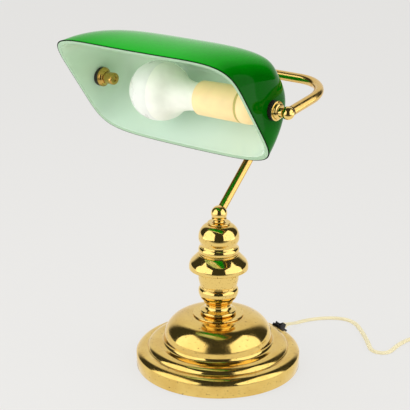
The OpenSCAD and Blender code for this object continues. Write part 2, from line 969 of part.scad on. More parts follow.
// The flex's route on the table, points on its middle line from the relief to the coil.
z0 = flex_z;
coil_at = [186, 224];
coil_z = flex_z + 0.8;
coil_start = [coil_at[0] - coil_r, coil_at[1] - 6, coil_z];
route = [
    [cord_tip * sin(cord_turn), cord_tip * cos(cord_turn), cord_z],
    [9.9, 116, 8], [9.4, 123, 6.2], [8.5, 130, 4], [8.2, 137.5, 2.2], [9.6, 145.5, z0],
    [13.5, 154, z0], [18.8, 162.5, z0], [25.2, 170.2, z0], [33, 177, z0], [41.5, 181.3, z0],
    [50, 182.3, z0], [58, 180.3, z0], [65.3, 176.2, z0], [72.5, 170.5, z0], [80, 164, z0],
    [88, 156.5, z0], [96, 148.5, z0], [103, 141.2, z0], [107.4, 136.3, z0], [111.5, 132.5, z0],
    [115.3, 130.3, z0], [119.4, 129.6, z0], [124, 130.5, z0], [127.9, 133.1, z0],
    [130.3, 136.7, z0], [131.2, 141.5, z0], [130.7, 149, z0], [129.7, 159, z0],
    [129.7, 171, z0], [131.5, 183, z0], [136, 193, z0], [141.8, 201.5, z0 + 0.2],
    [147, 208, z0 + 0.5], [149.8, 212.8, coil_z - 0.1], coil_start
];

module power_cord() {
    path = smooth_path(route, 2);
    color(FLEX)
        tube(path, 8, flex_w, flex_t);
    echo(free_cord_mm = path_len(path));
}

// The coil spirals in and out at one rate and climbs a layer where it turns back.
pitch = flex_w + 0.6;
layer_h = flex_t + 0.5;
layers = 4;
layer_turns = 1.5;
loop_rings = 24;
turns = layers * layer_turns + (layers - 1) / 2;
inner_r = coil_r - pitch * (layer_turns + 0.25);
function coil_radius(t) = inner_r + pitch * abs((t + 0.25) % 4 - 2);
function ease(u) = u <= 0 ? 0 : u >= 1 ? 1 : u * u * (3 - 2 * u);
function climb(t) = [for (k = [1:layers - 1]) ease((t - 2 * k) * 2 + 1)]
    * [for (k = [1:layers - 1]) 1];
coil_path = [
    coil_start,
    for (i = [0:turns * loop_rings])
        let (t = i / loop_rings)
        let (a = 180 - 360 * t)
        [coil_at[0] + coil_radius(t) * cos(a), coil_at[1] + coil_radius(t) * sin(a),
            coil_z + layer_h * climb(t)]
];
coil_top = coil_z + layer_h * (layers - 1);
tail_x = coil_at[0] + coil_r;
plug_at = [tail_x, 176, 7];
tail = [
    [tail_x, 216, coil_top], [tail_x, 208, coil_top - 1.1], [tail_x, 200, coil_top - 3.3],
    [tail_x, 192, plug_at[2] + 1.1], [tail_x, 184, plug_at[2]], plug_at
];

// Least distance between the surface points of turns that lie next to each other,
// and between those of the tail and of the turns under it.
function near(a, b) = min([for (p = a, q = b) norm(p - q)]);
function ring_points(path) =
    let (sec = section(6, flex_w, flex_t))
    [for (i = [0:len(path) - 1]) tube_ring(path, i, sec)];
function turn_gap(rings, n) = min([
    for (i = [0:2:n - 1], k = [1:turns], m = [-1:1])
        let (j = i + k * loop_rings + m)
        if (j < n)
            near(rings[i], rings[j])
]);
function tail_gap(rings, n) = min([
    for (i = [n + 1:len(rings) - 1], j = [0:n - loop_rings / 2])
        near(rings[i], rings[j])
]);

module cord_coil() {
    path = concat(coil_path, tail);
    rings = ring_points(path);
    n = len(coil_path);
    color(FLEX)
        tube(path, 6, flex_w, flex_t);
    echo(coil_mm = path_len(path), turn_gap_mm = turn_gap(rings, n),
        tail_gap_mm = tail_gap(rings, n));
}

// A tie round the coil at its back, where the turns lie in two columns.
module cord_tie() {
    tie_in = coil_radius(1.25) - flex_w / 2 - 0.5;
    tie_out = coil_radius(0.25) + flex_w / 2 + 0.3;
    tie_top = coil_top + flex_z + 0.2;
    color(BLACK)
        translate([coil_at[0] - 3, coil_at[1], 0])
            difference() {
                translate([0, tie_in - 0.8, 0])
                    cube([6, tie_out - tie_in + 1.6, tie_top + 0.8]);
                translate([-1, tie_in, 0.7])
                    cube([8, tie_out - tie_in, tie_top - 0.7]);
            }
}

// Plug: a flat two-pin plug lying on the table, pins to the front.

plug_neck = 16;
plug_len = 35;

module plug_body() {
    color(FLEX)
        translate([plug_at[0], plug_at[1], 0])
            difference() {
                intersection() {
                    linear_extrude(height = 13.6)
                        polygon([[-3.4, 0], [3.4, 0], [5, -plug_neck], [9, -plug_neck - 3],
                            [12.8, -plug_neck - 14], [12.8, -plug_neck - plug_len],
                            [-12.8, -plug_neck - plug_len], [-12.8, -plug_neck - 14],
                            [-9, -plug_neck - 3], [-5, -plug_neck]]);
                    rotate([90, 0, -90])
                        linear_extrude(height = 40, center = true)
                            polygon([[0, 4.4], [plug_neck, 2], [plug_neck + 4, 0],
                                [plug_neck + plug_len, 0], [plug_neck + plug_len, 13.6],
                                [plug_neck + 5, 13.6], [plug_neck, 11.4], [0, 9.6]]);
                }
                for (x = [-9.3, 9.3])
                    translate([x, -plug_neck - plug_len + 12, 7])
                        rotate([90, 0, 0])
                            cylinder(r = 2, h = 20);
            }
}

module plug_pins() {
    color(STEEL)
        for (x = [-9.3, 9.3])
            translate([plug_at[0] + x, plug_at[1] - plug_neck - plug_len + 12, 7])
                rotate([90, 0, 0])
                    turned([[0, 0], [2, 0], [2, 30], [1.2, 31], [0, 31]]);
}

felt_pad();
base_plate();
base_weight();
base_cover();
rod_nut();
rod_washer();
column_rod();
spacer_tube();
foot_disc();
foot_collar();
lower_cup();
column_band();
column_skirt();
upper_bead();
column_cap();
swivel_stud();
swivel_ring();
column_ball();
arm_tube();
yoke_hub();
yoke_tube();
left_ball();
right_ball();
left_nipple();
right_nipple();
left_cup();
right_cup();
left_grommet();
right_grommet();
left_inner_pad();
right_inner_pad();
left_inner_cup();
right_inner_cup();
left_knob();
shade_glass();
holder_cap();
holder_ring();
holder_sleeve();
holder_core();
holder_thread();
holder_contact();
bulb_cap();
bulb_insulator();
bulb_tip();
bulb_housing();
bulb_board();
bulb_globe();
switch_body();
switch_rocker();
switch_tabs();
base_lead();
column_lead();
head_lead();
cord_relief();
power_cord();
cord_coil();
cord_tie();
plug_body();
plug_pins();
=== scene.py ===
"""Bankers lamp: camera, studio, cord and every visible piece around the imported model."""
import logging
import math
from collections.abc import Callable
from dataclasses import dataclass
from enum import Enum

import bpy
from mathutils import Matrix, Vector


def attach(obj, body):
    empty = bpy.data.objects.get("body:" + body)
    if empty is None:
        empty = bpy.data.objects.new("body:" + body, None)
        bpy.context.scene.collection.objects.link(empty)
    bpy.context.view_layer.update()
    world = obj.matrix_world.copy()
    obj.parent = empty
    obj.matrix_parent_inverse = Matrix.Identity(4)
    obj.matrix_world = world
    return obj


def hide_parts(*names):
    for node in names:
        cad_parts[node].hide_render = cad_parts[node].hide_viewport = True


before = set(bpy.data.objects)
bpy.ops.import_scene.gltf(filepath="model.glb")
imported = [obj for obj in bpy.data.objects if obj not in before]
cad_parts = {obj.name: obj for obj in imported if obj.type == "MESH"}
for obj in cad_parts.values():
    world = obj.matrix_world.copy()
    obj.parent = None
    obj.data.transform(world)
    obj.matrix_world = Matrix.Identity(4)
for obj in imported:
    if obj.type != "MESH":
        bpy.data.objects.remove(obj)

logging.basicConfig(level=logging.INFO, format="%(message)s")
LOG = logging.getLogger("bankers lamp")
MM = 0.001
Point = tuple[float, float]
Spot = tuple[float, float, float]
# Y and Z in millimetres of the line that the glass tilts about.
PIVOT: Point = (-62.0, 311.0)


class Body(Enum):
    """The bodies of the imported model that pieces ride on."""

    BASE = "base"
    HEAD = "head"
    SHADE = "shade"
    ROCKER = "rocker"


class Side(Enum):
    """Left and right, as the camera sees the lamp."""

    LEFT = -1
    RIGHT = 1


def linear(colour: str) -> tuple[float, float, float, float]:
    """Turns an sRGB hex colour into linear RGBA.

    Args:
        colour: Six hex digits after a hash sign.

    Returns:
        The colour as Blender's sockets take it.
    """
    parts = [int(colour[i : i + 2], 16) / 255 for i in (1, 3, 5)]
    low = [c / 12.92 if c <= 0.04045 else ((c + 0.055) / 1.055) ** 2.4 for c in parts]
    return (low[0], low[1], low[2], 1.0)


def add_node(tree: bpy.types.NodeTree, kind: str, values: dict | None = None,
             links: dict | None = None, stops: tuple[tuple[float, str], ...] = (),
             feeds: bpy.types.NodeSocket | None = None, **settings: object) -> bpy.types.Node:
    """Adds a node with its settings, its values and its links.

    Args:
        tree: The node tree that gets the node.
        kind: The node's type name.
        values: Numbers or colours for sockets, by name or number.
        links: Output sockets to link from, by the name or number of the input.
        stops: Places from 0 to 1 with their hex colours, for a colour ramp.
        feeds: Input socket that takes the node's first output.
        settings: Attributes to set on the node.

    Returns:
        The new node.
    """
    node = tree.nodes.new(kind)
    for name, value in settings.items():
        setattr(node, name, value)
    for socket, value in (values or {}).items():
        node.inputs[socket].default_value = value
    for socket, source in (links or {}).items():
        tree.links.new(source, node.inputs[socket])
    for i, (place, colour) in enumerate(stops):
        band = node.color_ramp.elements
        element = band[i] if i < len(band) else band.new(place)
        element.position, element.color = place, linear(colour)
    if feeds:
        tree.links.new(node.outputs[0], feeds)
    return node


@dataclass(frozen=True)
class Canvas:
    """A material in the making.

    Attributes:
        tree: Its node tree.
        inputs: The sockets of its shader.
        place: Object coordinates.
        noises: The grey outputs of the finish's noises.
    """

    tree: bpy.types.NodeTree
    inputs: bpy.types.NodeInputs
    place: bpy.types.NodeSocket
    noises: list[bpy.types.NodeSocket]


# The sockets of a Map Range node that take the ends of a noise's usual greys.
GREYS = {1: 0.3, 2: 0.7}


@dataclass(frozen=True)
class Finish:
    """What a material is and how its surface was made.

    Attributes:
        name: The material's common name and finish.
        colour: Main colour as sRGB hex.
        metallic: 1 for bare metal.
        roughness: Roughness of the surface.
        shine: Level of the mirror-like reflection of what isn't metal.
        depth_mm: Depth of the surface's relief in millimetres.
    """

    name: str
    colour: str
    metallic: float = 0.0
    roughness: float = 0.4
    shine: float = 0.5
    depth_mm: float = 0.0

    def spots(self) -> tuple[Point, ...]:
        """Size in millimetres and octaves of each noise."""
        return ((14, 2),)

    def material(self) -> bpy.types.Material:
        """Makes the material on its first use.

        Returns:
            The material.
        """
        known = bpy.data.materials.get(self.name)
        if known:
            return known
        made = bpy.data.materials.new(self.name)
        made.use_nodes = True
        tree = made.node_tree
        tree.nodes.clear()
        shader = add_node(tree, "ShaderNodeBsdfPrincipled", {
            "Base Color": linear(self.colour), "Metallic": self.metallic,
            "Roughness": self.roughness, "Specular IOR Level": self.shine})
        add_node(tree, "ShaderNodeOutputMaterial", links={"Surface": shader.outputs[0]})
        place = add_node(tree, "ShaderNodeTexCoord").outputs["Object"]
        noises = [add_node(tree, "ShaderNodeTexNoise",
                           {"Scale": 1 / (size * MM), "Detail": octaves},
                           {"Vector": place}).outputs[0] for size, octaves in self.spots()]
        height = self.dress(Canvas(tree, shader.inputs, place, noises))
        if self.depth_mm:
            add_node(tree, "ShaderNodeBump", {"Distance": self.depth_mm * MM, "Strength": 1.0},
                     {"Height": height}, feeds=shader.inputs["Normal"])
        return made

    def dress(self, work: Canvas) -> bpy.types.NodeSocket:
        """Adds a faint mottle of colour and roughness, as on any handled surface.

        Args:
            work: The material in the making.

        Returns:
            The grey height of the surface's relief.
        """
        mottle = work.noises[0]
        add_node(work.tree, "ShaderNodeMapRange",
                 GREYS | {3: self.roughness * 0.8, 4: self.roughness * 1.25}, {0: mottle},
                 feeds=work.inputs["Roughness"])
        value = add_node(work.tree, "ShaderNodeMapRange", GREYS | {3: 0.95, 4: 1.04},
                         {0: mottle}).outputs[0]
        add_node(work.tree, "ShaderNodeHueSaturation", {"Color": linear(self.colour)},
                 {"Value": value}, feeds=work.inputs["Base Color"])
        return work.noises[-1]


@dataclass(frozen=True)
class PolishedBrass(Finish):
    """Buffed and lacquered brass: clear reflections with a slight orange-peel wave.

    Attributes:
        wave_mm: Width of the wave.
    """

    depth_mm: float = 0.03
    wave_mm: float = 9.0

    def spots(self) -> tuple[Point, ...]:
        """Smears, pits and the wave."""
        return ((5, 3), (1.3, 1), (self.wave_mm, 1))

    def dress(self, work: Canvas) -> bpy.types.NodeSocket:
        """Adds smears in the polish and small dark pits.

        Args:
            work: The material in the making.

        Returns:
            The height of the wave.
        """
        smear, pits, wave = work.noises
        add_node(work.tree, "ShaderNodeMapRange",
                 GREYS | {3: self.roughness * 0.6, 4: self.roughness * 1.5}, {0: smear},
                 feeds=work.inputs["Roughness"])
        add_node(work.tree, "ShaderNodeValToRGB", links={"Fac": pits},
                 stops=((0.0, "#5A3F12"), (0.27, "#8A6420"), (0.33, self.colour),
                        (1.0, self.colour)), feeds=work.inputs["Base Color"])
        return wave


@dataclass(frozen=True)
class SpunBrass(Finish):
    """Thin brass spun over a form: fine rings, pits under the old lacquer, brown specks.

    Attributes:
        ring_mm: Distance between the rings.
        dull: Colour of the dull clouds.
        speck: Colour of the specks.
    """

    depth_mm: float = 0.018
    ring_mm: float = 0.8
    dull: str = "#DFB862"
    speck: str = "#5E4212"

    def spots(self) -> tuple[Point, ...]:
        """Clouds, fine wear and specks."""
        return ((22, 4), (1.6, 3), (2.0, 3))

    def dress(self, work: Canvas) -> bpy.types.NodeSocket:
        """Adds dull clouds, dark specks and rings round the axis.

        Args:
            work: The material in the making.

        Returns:
            The height of the rings and the wear.
        """
        tree = work.tree
        cloud, fine, specks = work.noises
        add_node(tree, "ShaderNodeMapRange",
                 GREYS | {3: self.roughness * 0.5, 4: self.roughness * 1.5}, {0: cloud},
                 feeds=work.inputs["Roughness"])
        clean = add_node(tree, "ShaderNodeValToRGB", links={"Fac": cloud},
                         stops=((0.3, self.colour), (0.75, self.dull))).outputs[0]
        free = add_node(tree, "ShaderNodeMapRange", {1: 0.29, 2: 0.35}, {0: specks}).outputs[0]
        colour = add_node(tree, "ShaderNodeMix", {6: linear(self.speck)}, {0: free, 7: clean},
                          data_type="RGBA")
        tree.links.new(colour.outputs[2], work.inputs["Base Color"])
        level = add_node(tree, "ShaderNodeVectorMath", {1: (1, 1, 0)}, {0: work.place},
                         operation="MULTIPLY").outputs[0]
        reach = add_node(tree, "ShaderNodeVectorMath", links={0: level},
                         operation="LENGTH").outputs["Value"]
        rings = add_node(tree, "ShaderNodeTexNoise",
                         {"Scale": 1 / (self.ring_mm * MM), "Detail": 2.0}, {"W": reach},
                         noise_dimensions="1D").outputs[0]
        lift = add_node(tree, "ShaderNodeMapRange", GREYS | {3: -0.1, 4: 0.1},
                        {0: cloud}).outputs[0]
        wear = add_node(tree, "ShaderNodeMath", {1: 0.5}, {0: fine, 2: lift},
                        operation="MULTIPLY_ADD").outputs[0]
        return add_node(tree, "ShaderNodeMath", links={0: rings, 1: wear},
                        operation="ADD").outputs[0]


@dataclass(frozen=True)
class CasedGlass(Finish):
    """Blown glass: a green layer over white opal, glossy, with faint pulls.

    Attributes:
        middle: Colour on the way to the ends.
        deep: Colour at the ends, painted darker as shade.
        reach: Distances from the middle, in metres, where the colour starts and ends.
    """

    depth_mm: float = 0.06
    middle: str = "#048A0A"
    deep: str = "#015203"
    reach: Point = (0.04, 0.112)

    def spots(self) -> tuple[Point, ...]:
        """The faint wave of blown glass."""
        return ((30, 1),)

    def dress(self, work: Canvas) -> bpy.types.NodeSocket:
        """Adds painted shade: a darker colour towards the ends.

        Args:
            work: The material in the making.

        Returns:
            The height of the wave.
        """
        tree = work.tree
        along = add_node(tree, "ShaderNodeSeparateXYZ", links={0: work.place}).outputs[0]
        out = add_node(tree, "ShaderNodeMath", links={0: along}, operation="ABSOLUTE").outputs[0]
        pulled = add_node(tree, "ShaderNodeMapping", {"Scale": (0.4, 1, 1)},
                          {"Vector": work.place}).outputs[0]
        pull = add_node(tree, "ShaderNodeTexNoise", {"Scale": 1 / (60 * MM), "Detail": 1.0},
                        {"Vector": pulled}).outputs[0]
        shift_x = add_node(tree, "ShaderNodeMapRange", GREYS | {3: -0.006, 4: 0.006},
                           {0: pull}).outputs[0]
        both = add_node(tree, "ShaderNodeMath", links={0: out, 1: shift_x},
                        operation="ADD").outputs[0]
        share = add_node(tree, "ShaderNodeMapRange", {1: self.reach[0], 2: self.reach[1]},
                         {0: both}).outputs[0]
        add_node(tree, "ShaderNodeValToRGB", links={"Fac": share},
                 stops=((0.0, self.colour), (0.75, self.middle), (1.0, self.deep)),
                 feeds=work.inputs["Base Color"])
        return work.noises[0]


@dataclass(frozen=True)
class OpalGlass(Finish):
    """Opal lining of the cased glass, with painted light and shade: greener and darker at the
    top and the left end, where green light through the glass is painted in.

    Attributes:
        lit: Painted colour of the green light and shade at the top and the left end.
        middle: Colour on the way down.
        slope: Direction in which the colour changes.
        reach: Distances along it, in metres, where the colour starts and ends.
    """

    depth_mm: float = 0.06
    lit: str = "#CDE7CB"
    middle: str = "#D0EAD4"
    slope: Spot = (0.25, 0.0, -1.0)
    reach: Point = (-0.345, -0.262)

    def spots(self) -> tuple[Point, ...]:
        """The faint wave of blown glass."""
        return ((30, 1),)

    def dress(self, work: Canvas) -> bpy.types.NodeSocket:
        """Adds painted light and shade: a slow change from green at the top and the left end to
        white below.

        Args:
            work: The material in the making.

        Returns:
            The height of the wave.
        """
        across = add_node(work.tree, "ShaderNodeVectorMath", {1: self.slope}, {0: work.place},
                          operation="DOT_PRODUCT").outputs["Value"]
        share = add_node(work.tree, "ShaderNodeMapRange",
                         {1: self.reach[0], 2: self.reach[1]}, {0: across}).outputs[0]
        add_node(work.tree, "ShaderNodeValToRGB", links={"Fac": share},
                 stops=((0.0, self.lit), (0.4, self.middle), (1.0, self.colour)),
                 feeds=work.inputs["Base Color"])
        return work.noises[0]


@dataclass(frozen=True)
class MouldedPlastic(Finish):
    """Injection-moulded plastic: an even satin, faintly mottled, with a spark-eroded grain.

    Attributes:
        grain_mm: Size of the grain, drawn as coarse as it needs to show.
    """

    depth_mm: float = 0.012
    grain_mm: float = 0.5

    def spots(self) -> tuple[Point, ...]:
        """The mottle and the grain."""
        return ((14, 2), (self.grain_mm, 1))


@dataclass(frozen=True)
class MattedSurface(Finish):
    """A dull surface of matted fibres or sand, darker in its hollows.

    Attributes:
        grain_mm: Size of the grain, or length of the fibres.
        octaves: Octaves of finer grain.
        hollow: Colour of the hollows.
        light_at: Grey at which the main colour is reached.
        sheen: Soft glow of fibres at the edges.
    """

    depth_mm: float = 0.12
    grain_mm: float = 0.6
    octaves: float = 3.0
    hollow: str = "#26262A"
    light_at: float = 0.75
    sheen: float = 0.0

    def spots(self) -> tuple[Point, ...]:
        """The grain."""
        return ((self.grain_mm, self.octaves),)

    def dress(self, work: Canvas) -> bpy.types.NodeSocket:
        """Adds the colour of the hollows and a soft sheen.

        Args:
            work: The material in the making.

        Returns:
            The height of the grain.
        """
        work.inputs["Sheen Weight"].default_value = self.sheen
        add_node(work.tree, "ShaderNodeValToRGB", links={"Fac": work.noises[0]},
                 stops=((0.3, self.hollow), (self.light_at, self.colour)),
                 feeds=work.inputs["Base Color"])
        return work.noises[0]


# Buffed bright under lacquer: it mirrors the room, with small pits and slightly wavy edges.
POLISHED = PolishedBrass("buffed lacquered brass", "#F1CF7C", 1.0, 0.07)
# Bent brass tube: the same brass, rougher for softer reflections, with its colour painted darker
# and browner as shade.
SHADED_TUBE_BRASS = PolishedBrass("brass tube darkened as painted shade", "#E2BC6C", 1.0, 0.17)
# Turned on a lathe and polished: clear bands of light and dark that follow each bead.
TURNED = PolishedBrass("turned brass", "#EFCE7A", 1.0, 0.08, wave_mm=6.0)
# Thin sheet spun over a form: broad soft reflections, broken by specks and granular lacquer.
SPUN = SpunBrass("spun brass with pitted lacquer", "#EFCE78", 1.0, 0.14)
# Brass inside the shade: rough, with its colour painted darker and browner as the shade that
# falls there.
BRASS_IN_PAINTED_SHADE = PolishedBrass("dull brass in painted shade", "#CBA355", 1.0, 0.2)
# Glass with a coloured skin: a deep green under a sharp, thin gloss, painted darker towards both
# ends as shade.
GREEN = CasedGlass("green layer of cased glass", "#0FA01A", 0.0, 0.05, 0.03)
# The white lining of that glass: milky and smooth, with painted light: tinted green towards the
# top and the left end, as by the light through the glass behind it.
OPAL = OpalGlass("white opal layer of cased glass", "#DBF1E1", 0.0, 0.14)
# The rim is ground flat: a matt band, painted a little darker than the lining as shade, since it
# faces the light more.
GROUND = Finish("ground edge of the glass", "#A8C6A8", 0.0, 0.6, 0.2)
# Where the green layer is cut through, it shows as a thin dark line.
EDGE = Finish("cut edge of the green layer", "#07180A", 0.0, 0.6, 0.05)
# Moulded rubber that has turned brownish: no clear reflections.
RUBBER = MouldedPlastic("black moulded rubber", "#231913", 0.0, 0.55)
# Old moulded phenolic: warm cream with a soft satin highlight.
CREAM = MouldedPlastic("cream moulded phenolic", "#FFE1A4", 0.0, 0.38)
# The ring at the seam of the holder: the same moulding, painted a yellowish olive as shade and
# green reflection in the seam.
SEAM_SHADE_OLIVE = MouldedPlastic("olive seam ring in painted shade", "#BDB060", 0.0, 0.45)
# Frosted glass or plastic: white with a broad soft highlight.
GLOBE = MouldedPlastic("frosted opal globe", "#E4E8E0", 0.0, 0.3, depth_mm=0.004)
# Moulded housing of the bulb: white and a little duller than the globe.
HOUSING = MouldedPlastic("white bulb housing", "#F0F3E6", 0.0, 0.42)
# Hard glossy plastic: black with small sharp highlights on its edges.
BLACK = MouldedPlastic("black glossy polycarbonate", "#101012", 0.0, 0.22)
# Soft extruded sheath: pale cream with a long soft highlight along each core.
FLEX = MouldedPlastic("cream soft flex", "#EBE0B8", 0.0, 0.36, grain_mm=1.5, depth_mm=0.02)
# Fired without a glaze: chalky white.
PORCELAIN = Finish("unglazed porcelain", "#E4E1D8", 0.0, 0.5)
# Plated sheet steel: bluish grey with blurred reflections.
ZINC = Finish("zinc-plated steel", "#B9BCC0", 1.0, 0.32)
# Nickel plate: warmer and brighter than the zinc.
NICKEL = Finish("nickel-plated cap", "#C9C8C4", 1.0, 0.25)
# Brass as it comes off the machine: no lacquer, blurred reflections.
MACHINED = Finish("machined brass", "#CFA55A", 1.0, 0.3)
# Bare sheet aluminium: light grey and soft.
BOARD = Finish("bare aluminium board", "#D4D6D8", 1.0, 0.4)
# Cast in sand: dark, dull and grainy, in grains of about half a millimetre.
IRON = MattedSurface("cast iron weight", "#4A4A4E", 0.6, 0.7)
# Pressed wool with fibres of about a millimetre: a dark green that takes no highlight.
FELT = MattedSurface("dark green felt", "#24392A", 0.0, 0.95, depth_mm=0.25, grain_mm=0.9,
                     octaves=4.0, hollow="#101C13", light_at=0.7, sheen=0.4)

CAD_FINISHES = {
    FELT: ("felt_pad",),
    ZINC: ("base_plate", "rod_washer", "spacer_tube", "swivel_ring"),
    IRON: ("base_weight",),
    MACHINED: ("rod_nut", "column_rod", "left_nipple", "right_nipple", "holder_thread",
               "holder_contact", "bulb_tip", "switch_tabs"),
    PORCELAIN: ("holder_core",),
    NICKEL: ("bulb_cap",),
    BLACK: ("bulb_insulator",),
    BOARD: ("bulb_board",),
    FLEX: ("base_lead", "column_lead", "head_lead"),
    RUBBER: ("left_grommet", "right_grommet", "left_inner_pad", "right_inner_pad"),
}


def power(value: float, exponent: float) -> float:
    """Raises the size of a number to a power and keeps its sign."""
    return math.copysign(abs(value) ** exponent, value)


def shift(x: float, y: float, z: float) -> Matrix:
    """A move by millimetres."""
    return Matrix.Translation((x * MM, y * MM, z * MM))


def rotation(degrees: float, axis: str) -> Matrix:
    """A turn about an axis."""
    return Matrix.Rotation(math.radians(degrees), 4, axis)


def arc(centre: Point, across: float, up: float, start: float, stop: float,
        steps: int = 16, square: float = 2.0) -> list[Point]:
    """Points on an ellipse, or on a squarer curve where square is over 2.

    Args:
        centre: Middle of the curve.
        across: Half width.
        up: Half height.
        start: First angle in degrees.
        stop: Last angle in degrees.
        steps: Number of stretches between points.
        square: Exponent of the superellipse.

    Returns:
        The points, as pairs of radius and height.
    """
    points = []
    for i in range(steps + 1):
        a = math.radians(start + (stop - start) * i / steps)
        points.append((centre[0] + across * power(math.cos(a), 2 / square),
                       centre[1] + up * power(math.sin(a), 2 / square)))
    return points


def eased(outline: list[Point], radius: float, closed: bool = True) -> list[Point]:
    """Rounds the sharp corners of an outline.

    Args:
        outline: Corner points.
        radius: Distance from the corner at which the rounding starts.
        closed: Whether the last point joins the first.

    Returns:
        The outline with three points in place of each sharp corner.
    """
    made = []
    count = len(outline)
    for i, here in enumerate(outline):
        corner = Vector(here)
        if not closed and i in (0, count - 1):
            made.append(here)
            continue
        back = Vector(outline[i - 1]) - corner
        ahead = Vector(outline[(i + 1) % count]) - corner
        if back.length < 1e-6 or ahead.length < 1e-6:
            continue
        if back.angle(ahead) > math.radians(155):
            made.append(here)
            continue
        cut = min(radius, 0.45 * back.length, 0.45 * ahead.length)
        first, last = corner + back.normalized() * cut, corner + ahead.normalized() * cut
        middle = (first + last) * 0.25 + corner * 0.5
        made.extend([tuple(first), tuple(middle), tuple(last)])
    return made


def only(piece: bpy.types.Object) -> None:
    """Selects one object and makes it active."""
    bpy.ops.object.select_all(action="DESELECT")
    piece.select_set(True)
    bpy.context.view_layer.objects.active = piece


def linked(name: str, data: bpy.types.ID) -> bpy.types.Object:
    """Adds an object for new data to the scene.

    Args:
        name: Name of the object.
        data: Its curve, light or camera.

    Returns:
        The object.
    """
    made = bpy.data.objects.new(name, data)
    bpy.context.scene.collection.objects.link(made)
    return made


def start_edit() -> None:
    """Enters edit mode with everything selected."""
    bpy.ops.object.mode_set(mode="EDIT")
    bpy.ops.mesh.select_mode(type="VERT")
    bpy.ops.mesh.select_all(action="SELECT")


def select_faces(piece: bpy.types.Object,
                 wanted: Callable[[bpy.types.MeshPolygon], bool]) -> None:
    """Enters edit mode with some of the faces selected.

    Args:
        piece: The object.
        wanted: Says whether a face is selected.
    """
    only(piece)
    bpy.ops.object.mode_set(mode="EDIT")
    bpy.ops.mesh.select_mode(type="FACE")
    bpy.ops.mesh.select_all(action="DESELECT")
    bpy.ops.object.mode_set(mode="OBJECT")
    for face in piece.data.polygons:
        face.select = wanted(face)
    bpy.ops.object.mode_set(mode="EDIT")


def close_edit(weld: float = 2e-6) -> None:
    """Merges doubles, turns the faces outwards and leaves edit mode.

    Args:
        weld: Distance in metres up to which points are merged.
    """
    bpy.ops.mesh.select_all(action="SELECT")
    bpy.ops.mesh.remove_doubles(threshold=weld)
    bpy.ops.mesh.normals_make_consistent(inside=False)
    bpy.ops.object.mode_set(mode="OBJECT")


def placed(piece: bpy.types.Object, place: Matrix) -> bpy.types.Object:
    """Moves a piece and puts its place into its mesh.

    Args:
        piece: An object built at the origin.
        place: Where it goes.

    Returns:
        The piece, at the origin again with its place in its mesh.
    """
    piece.matrix_world = place @ piece.matrix_world
    only(piece)
    bpy.ops.object.transform_apply(location=True, rotation=True, scale=True)
    return piece


def block(name: str, size: Spot, middle: Spot) -> bpy.types.Object:
    """Adds a cube at its size and place, as the start of a piece.

    Args:
        name: Name of the new object.
        size: Width, depth and height in millimetres.
        middle: Place of its middle in millimetres.

    Returns:
        The object, selected, with its size and place in its mesh.
    """
    bpy.ops.object.select_all(action="DESELECT")
    bpy.ops.mesh.primitive_cube_add(size=1)
    made = bpy.context.object
    made.name = name
    made.scale = Vector(size) * MM
    made.location = Vector(middle) * MM
    bpy.ops.object.transform_apply(location=True, rotation=True, scale=True)
    return made


def apply_modifier(piece: bpy.types.Object, kind: str, **settings: object) -> None:
    """Adds a modifier with its settings and applies it.

    Args:
        piece: The object.
        kind: The modifier's type name.
        settings: Attributes to set on the modifier.
    """
    bpy.context.view_layer.objects.active = piece
    modifier = piece.modifiers.new(kind.title(), kind)
    for name, value in settings.items():
        setattr(modifier, name, value)
    bpy.ops.object.modifier_apply(modifier=modifier.name)


def joined(piece: bpy.types.Object, tool: bpy.types.Object, operation: str) -> None:
    """Cuts a tool out of a piece, or adds it, and removes the tool.

    Args:
        piece: The object that changes.
        tool: The object that is used up.
        operation: DIFFERENCE or UNION.
    """
    apply_modifier(piece, "BOOLEAN", object=tool, operation=operation, solver="EXACT")
    bpy.data.objects.remove(tool)


def smooth(piece: bpy.types.Object, angle: float = 35) -> bpy.types.Object:
    """Shades a piece smooth, apart from its sharp edges.

    Args:
        piece: The object.
        angle: Angle in degrees from which an edge is sharp.

    Returns:
        The piece.
    """
    only(piece)
    bpy.ops.object.shade_smooth_by_angle(angle=math.radians(angle))
    return piece


def drawn(name: str, spots: list[Spot]) -> bpy.types.Object:
    """Draws a line from point to point.

    Args:
        name: Name of the new object.
        spots: Points in metres.

    Returns:
        The object, in edit mode with the whole line selected.
    """
    bpy.ops.object.select_all(action="DESELECT")
    bpy.ops.mesh.primitive_plane_add(size=0.001)
    piece = bpy.context.object
    piece.name = name
    start_edit()
    bpy.ops.mesh.merge(type="CENTER")
    bpy.ops.transform.translate(value=spots[0])
    for before, after in zip(spots, spots[1:]):
        step = [b - a for a, b in zip(before, after)]
        bpy.ops.mesh.extrude_vertices_move(TRANSFORM_OT_translate={"value": step})
    bpy.ops.mesh.select_all(action="SELECT")
    return piece


def turned(name: str, outline: list[Point], place: Matrix = Matrix.Identity(4),
           closed: bool = True, steps: int = 96, wall: float = 0.0) -> bpy.types.Object:
    """Turns an outline round the Z axis, as on a lathe.

    Args:
        name: Name of the new piece.
        outline: Pairs of radius and height in millimetres.
        place: Where the piece goes, in metres.
        closed: Whether the outline closes on itself.
        steps: Facets round the axis.
        wall: Thickness in millimetres of a wall inside an open outline.

    Returns:
        The new piece.
    """
    spots = [(r * MM, 0.0, z * MM) for r, z in outline]
    if closed:
        spots.append(spots[0])
    piece = drawn(name, spots)
    bpy.ops.mesh.spin(steps=steps, angle=2 * math.pi, center=(0, 0, 0), axis=(0, 0, 1),
                      use_auto_merge=True)
    close_edit()
    if wall:
        apply_modifier(piece, "SOLIDIFY", thickness=wall * MM, offset=-1.0)
    placed(piece, place)
    return smooth(piece)


